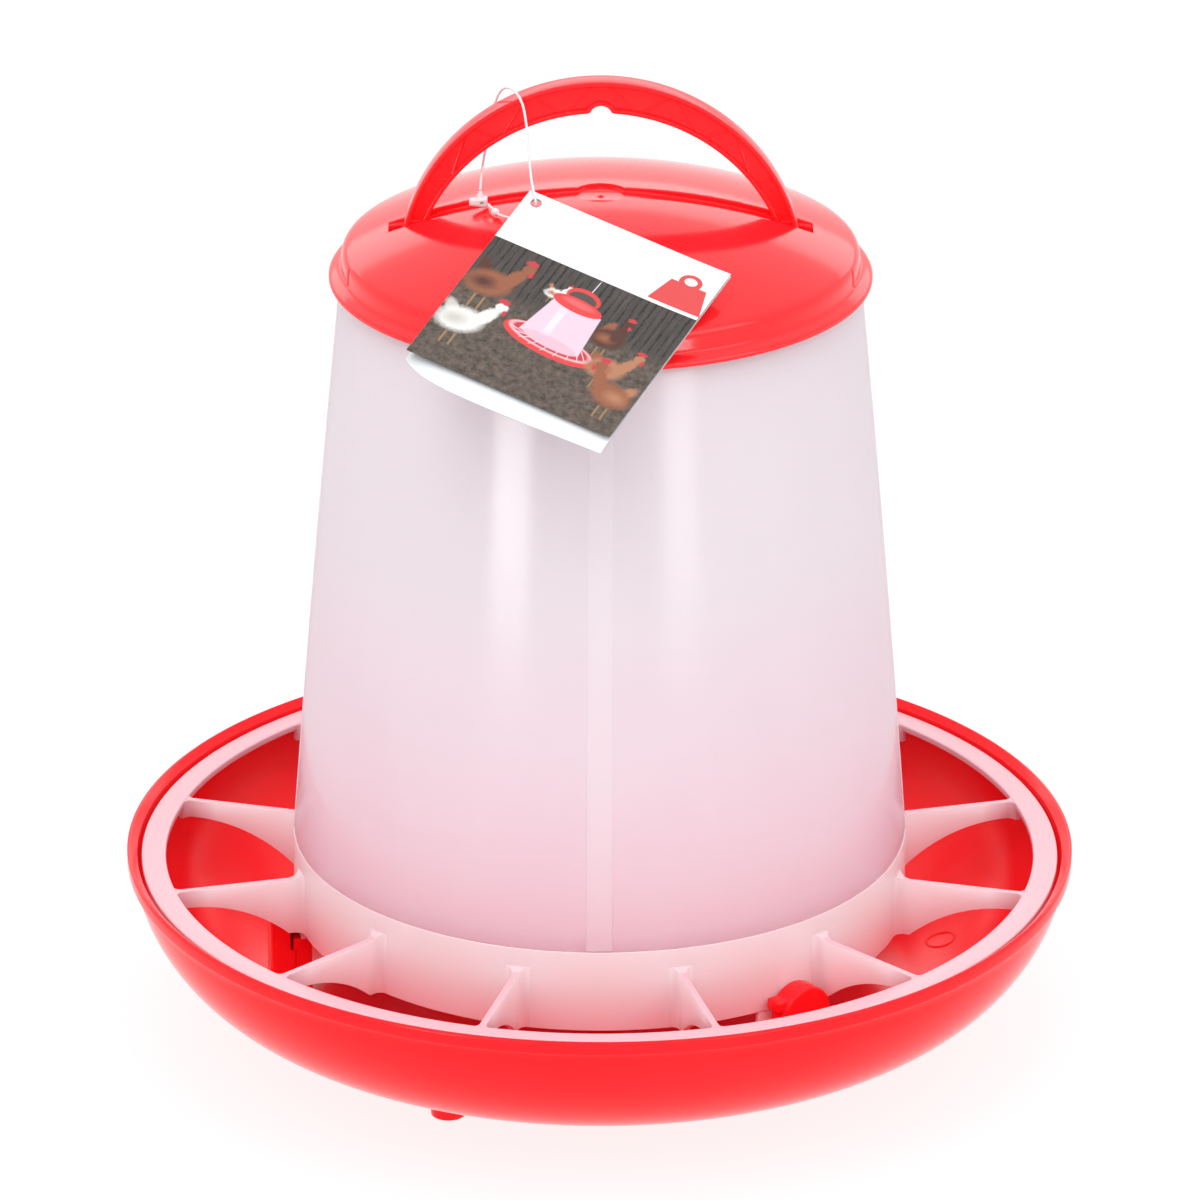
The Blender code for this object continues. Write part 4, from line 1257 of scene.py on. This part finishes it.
class Print:
    """Paints soft-edged shapes, in millimetres on the leaflet's face, over one another."""

    def __init__(self, graph, base):
        self.graph = graph
        self.tone = base
        self.exact = graph.node("ShaderNodeUVMap", "UV", uv_map="face_mm")
        parts = graph.split(self.exact)
        moved = {}
        for axis, scale in (("X", 1.1), ("Y", 1.3)):
            wobble = graph.span(graph.noise(scale, 3.0, self.exact), 0.0, 1.0, -WOBBLE, WOBBLE)
            moved[axis] = graph.math("ADD", parts[axis], wobble)
        self.rough = graph.node("ShaderNodeCombineXYZ", 0, moved)

    def local(self, centre, size, turn, exact):
        inputs = {
            "Vector": self.exact if exact else self.rough,
            "Location": (*centre, 0.0),
            "Rotation": (0.0, 0.0, math.radians(turn)),
            "Scale": (*size, 1.0),
        }
        return self.graph.node("ShaderNodeMapping", 0, inputs, vector_type="TEXTURE")

    def cover(self, away, soft, paint):
        """Lays paint where away, the distance from a shape's middle, is under 1."""
        mask = self.graph.span(away, 1.0 - soft, 1.0, 1.0, 0.0)
        self.tone = self.graph.mix(mask, self.tone, paint)

    def oval(self, centre, size, paint, turn=0.0, soft=0.25, exact=False):
        """An oval whose half sizes are given; soft is the share of its radius that fades."""
        away = self.graph.length(self.local(centre, size, turn, exact))
        self.cover(away, soft, paint)

    def exact_ovals(self, turn, *ovals):
        for centre, size, paint, soft in ovals:
            self.oval(centre, size, paint, turn, soft, exact=True)

    def bar(self, centre, size, paint, turn=0.0, soft=0.06, taper=0.0):
        """A rectangle whose half sizes are given; taper narrows it towards its top."""
        graph = self.graph
        parts = graph.split(self.local(centre, size, turn, True))
        x = graph.math("ABSOLUTE", parts["X"])
        if taper:
            narrow = graph.math("MULTIPLY", parts["Y"], taper)
            x = graph.math("DIVIDE", x, graph.math("SUBTRACT", 1.0, narrow))
        y = graph.math("ABSOLUTE", parts["Y"])
        self.cover(graph.math("MAXIMUM", x, y), soft, paint)


def paint_hen(art, centre, size, facing, body, shade, tail_up=1.0):
    """A plain hen of soft ovals: body, breast, tail, neck, head, comb and legs."""
    x, y = centre
    red = (0.62, 0.035, 0.05)
    ovals = (                       # centre, half sizes, paint, turn, soft
        (-1.5, 1.7 * tail_up, 1.9, 0.9, shade, 130.0, 0.4),
        (0.0, 0.0, 3.2, 2.1, body, 10.0, 0.35),
        (-0.6, -0.1, 2.0, 1.2, shade, 8.0, 0.8),
        (2.3, 1.6, 1.0, 2.2, body, -28.0, 0.3),
        (3.2, 3.6, 0.85, 0.75, body, 0.0, 0.25),
        (3.1, 4.5, 0.8, 0.45, red, 0.0, 0.3),
        (3.8, 3.0, 0.3, 0.5, red, 0.0, 0.3),
    )
    for across, up, wide, tall, paint, turn, soft in ovals:
        spot = (x + across * size * facing, y + up * size)
        art.oval(spot, (wide * size, tall * size), paint, turn * facing, soft)
    for step in (-0.4, 0.7):
        spot = (x + step * size, y - 2.9 * size)
        art.bar(spot, (0.16 * size, 1.1 * size), (0.35, 0.2, 0.08), 0.0, 0.3)


def paint_ground(art):
    """The picture's backdrop: a dark plank fence over soil with leaves, below a white band."""
    g = art.graph
    up = g.split(art.exact)["Y"]
    wave = {"Vector": art.rough, "Scale": 0.16, "Distortion": 1.5}
    planks = g.span(g.node("ShaderNodeTexWave", "Fac", wave), 0.0, 0.3)
    grain = g.noise(1.2, 4.0, g.scaled(art.exact, 1.0, 0.12, 1.0))
    fence = g.mix(planks, (0.012, 0.011, 0.010), (0.06, 0.05, 0.045))
    fence = g.mix(g.span(grain, 0.45, 0.8, 0.0, 0.5), fence, (0.16, 0.13, 0.11))
    soil = g.noise(0.55, 6.0, art.exact, 0.7)
    leaves = g.noise(0.9, 4.0, art.rough, 0.7)
    ground = g.mix(g.span(soil, 0.3, 0.7), (0.022, 0.016, 0.013), (0.20, 0.14, 0.11))
    ground = g.mix(g.span(leaves, 0.58, 0.66, 0.0, 0.7), ground, (0.10, 0.16, 0.06))
    ragged = g.math("ADD", up, g.span(soil, 0.0, 1.0, -3.0, 3.0))
    picture = g.mix(g.span(ragged, -6.0, -1.0), ground, fence)
    art.tone = g.mix(g.span(up, 13.0, 13.15, 1.0, 0.0), art.tone, picture)


def paint_feeder(art):
    """A simple drawing of a hanging feeder: cord, lid, handle, cone and round tray."""
    red = (0.80, 0.045, 0.045)
    pale = (0.80, 0.60, 0.70)
    lean = -4.0
    art.bar((1.9, 9.8), (0.16, 3.2), (0.75, 0.75, 0.78), lean, 0.3)
    art.exact_ovals(
        lean,
        ((0.8, -11.6), (13.6, 4.2), red, 0.04),
        ((0.8, -10.9), (12.6, 3.4), (0.86, 0.42, 0.45), 0.05),
        ((0.8, -10.8), (11.4, 2.9), (0.62, 0.03, 0.04), 0.08),
    )
    for number in range(9):
        angle = math.radians(180.0 + 180.0 * (number + 0.5) / 9)
        spot = (0.8 + 9.5 * math.cos(angle), -10.7 + 2.3 * math.sin(angle))
        art.bar(spot, (2.2, 0.16), pale, math.degrees(angle) * 0.9 + lean, 0.4)
    art.bar((0.9, -4.6), (7.9, 6.9), pale, lean, 0.03, taper=0.13)
    art.exact_ovals(lean, ((0.7, -11.2), (8.6, 1.9), (0.80, 0.50, 0.60), 0.15))
    art.bar((-1.6, -4.6), (1.3, 5.6), (0.90, 0.76, 0.84), lean + 3.0, 0.5)
    art.exact_ovals(
        lean,
        ((0.9, 5.6), (5.0, 3.0), red, 0.08),
        ((0.9, 5.2), (4.1, 2.2), (0.10, 0.07, 0.06), 0.1),
        ((0.8, 2.7), (7.3, 2.3), red, 0.05),
        ((0.8, 3.3), (5.6, 1.2), (0.90, 0.12, 0.12), 0.4),
    )


def printed_paper():
    """The leaflet's front: a white band with a plain red badge over a farmyard picture."""
    g = paper("printed_paper")
    blank = (0.90, 0.91, 0.92)
    art = Print(g, blank)
    paint_ground(art)
    brown = (0.33, 0.105, 0.045)
    dark = (0.10, 0.03, 0.018)
    white = (0.82, 0.80, 0.76)
    buff = (0.48, 0.20, 0.10)
    paint_hen(art, (-6.5, 3.5), 0.9, 1.0, white, buff)
    paint_hen(art, (-22.5, -1.5), 2.4, 0.9, brown, dark)
    paint_hen(art, (12.5, -3.0), 1.8, 0.5, dark, brown)
    paint_hen(art, (-22.7, -15.5), 2.3, 1.0, white, (0.62, 0.58, 0.52), 0.6)
    paint_feeder(art)
    paint_hen(art, (17.0, -12.0), 1.9, 1.0, buff, brown, 0.5)
    paint_hen(art, (22.5, -19.0), 2.1, -1.0, brown, buff, 0.6)
    red = (0.76, 0.06, 0.06)
    art.bar((21.7, 18.3), (6.3, 4.2), red, 0.0, 0.03, taper=0.2)
    art.exact_ovals(0.0, ((21.6, 23.4), (3.2, 2.6), red, 0.05), ((21.6, 23.6), (1.8, 1.3), blank, 0.08))
    back = g.node("ShaderNodeNewGeometry", "Backfacing")
    ink = g.mix(back, art.tone, blank)
    g.set(Base_Color=g.mix(1.0, ink, (0.70, 0.715, 0.73), "MULTIPLY"))
    g.set(Roughness=0.34)
    return g.material


def make_floor():
    bottom = FLOOR_TOP - FLOOR_THICKNESS
    floor = rounded_bar("floor", FLOOR_RADIUS, bottom, FLOOR_TOP, 5.0 * MM, Matrix(), 96)
    g = Graph("pale_floor")
    clouds = g.noise(3.0, 2.0)
    g.set(Base_Color=g.mix(clouds, (0.11, 0.11, 0.11), (0.13, 0.13, 0.13)))
    g.set(Roughness=0.75, Specular_IOR_Level=0.2)
    g.set(Emission_Color=(1.0, 1.0, 1.0), Emission_Strength=FLOOR_GLOW)
    floor.data.materials.append(g.material)


# ---- the whole

make_camera()
nylon_material = nylon()
string, string_length = make_string(nylon_material)
lock = make_lock(nylon_material)
tail = make_tail(nylon_material)
make_studio()
make_floor()
make_tray(red_plastic("tray_plastic", roughness=0.14, specular=0.2))
make_lid(red_plastic("lid_plastic", roughness=0.12, specular=0.48))
make_handle(red_plastic("handle_plastic", roughness=0.16, specular=0.27))
# each pair is a top tone and a painted pink glow, the tray's red light, laid on low down
hopper_tones_and_glow = ((0.90, 0.86, 0.90), (0.96, 0.77, 0.86))
grid_tones_and_glow = ((0.98, 0.90, 0.93), (0.98, 0.76, 0.82))
# a painted shade for the grid's level surfaces and its ring's rim, tinted by the tray's red glow
rim_shade_tone = (0.80, 0.49, 0.54)
hopper_finish_and_glow = {"glow_fade": HOPPER_GLOW_FADE, "clear": 0.42, "specular": 0.5, "strips": 0.3}
grid_finish_glow_and_shade = {"glow_fade": GRID_GLOW_FADE, "clear": 0.2, "specular": 0.25, "rim_shade": rim_shade_tone}
make_hopper(milky_plastic("hopper_plastic", *hopper_tones_and_glow, **hopper_finish_and_glow))
make_grid(milky_plastic("grid_plastic", *grid_tones_and_glow, **grid_finish_glow_and_shade))
make_leaflet(printed_paper(), paper("plain_paper").material)
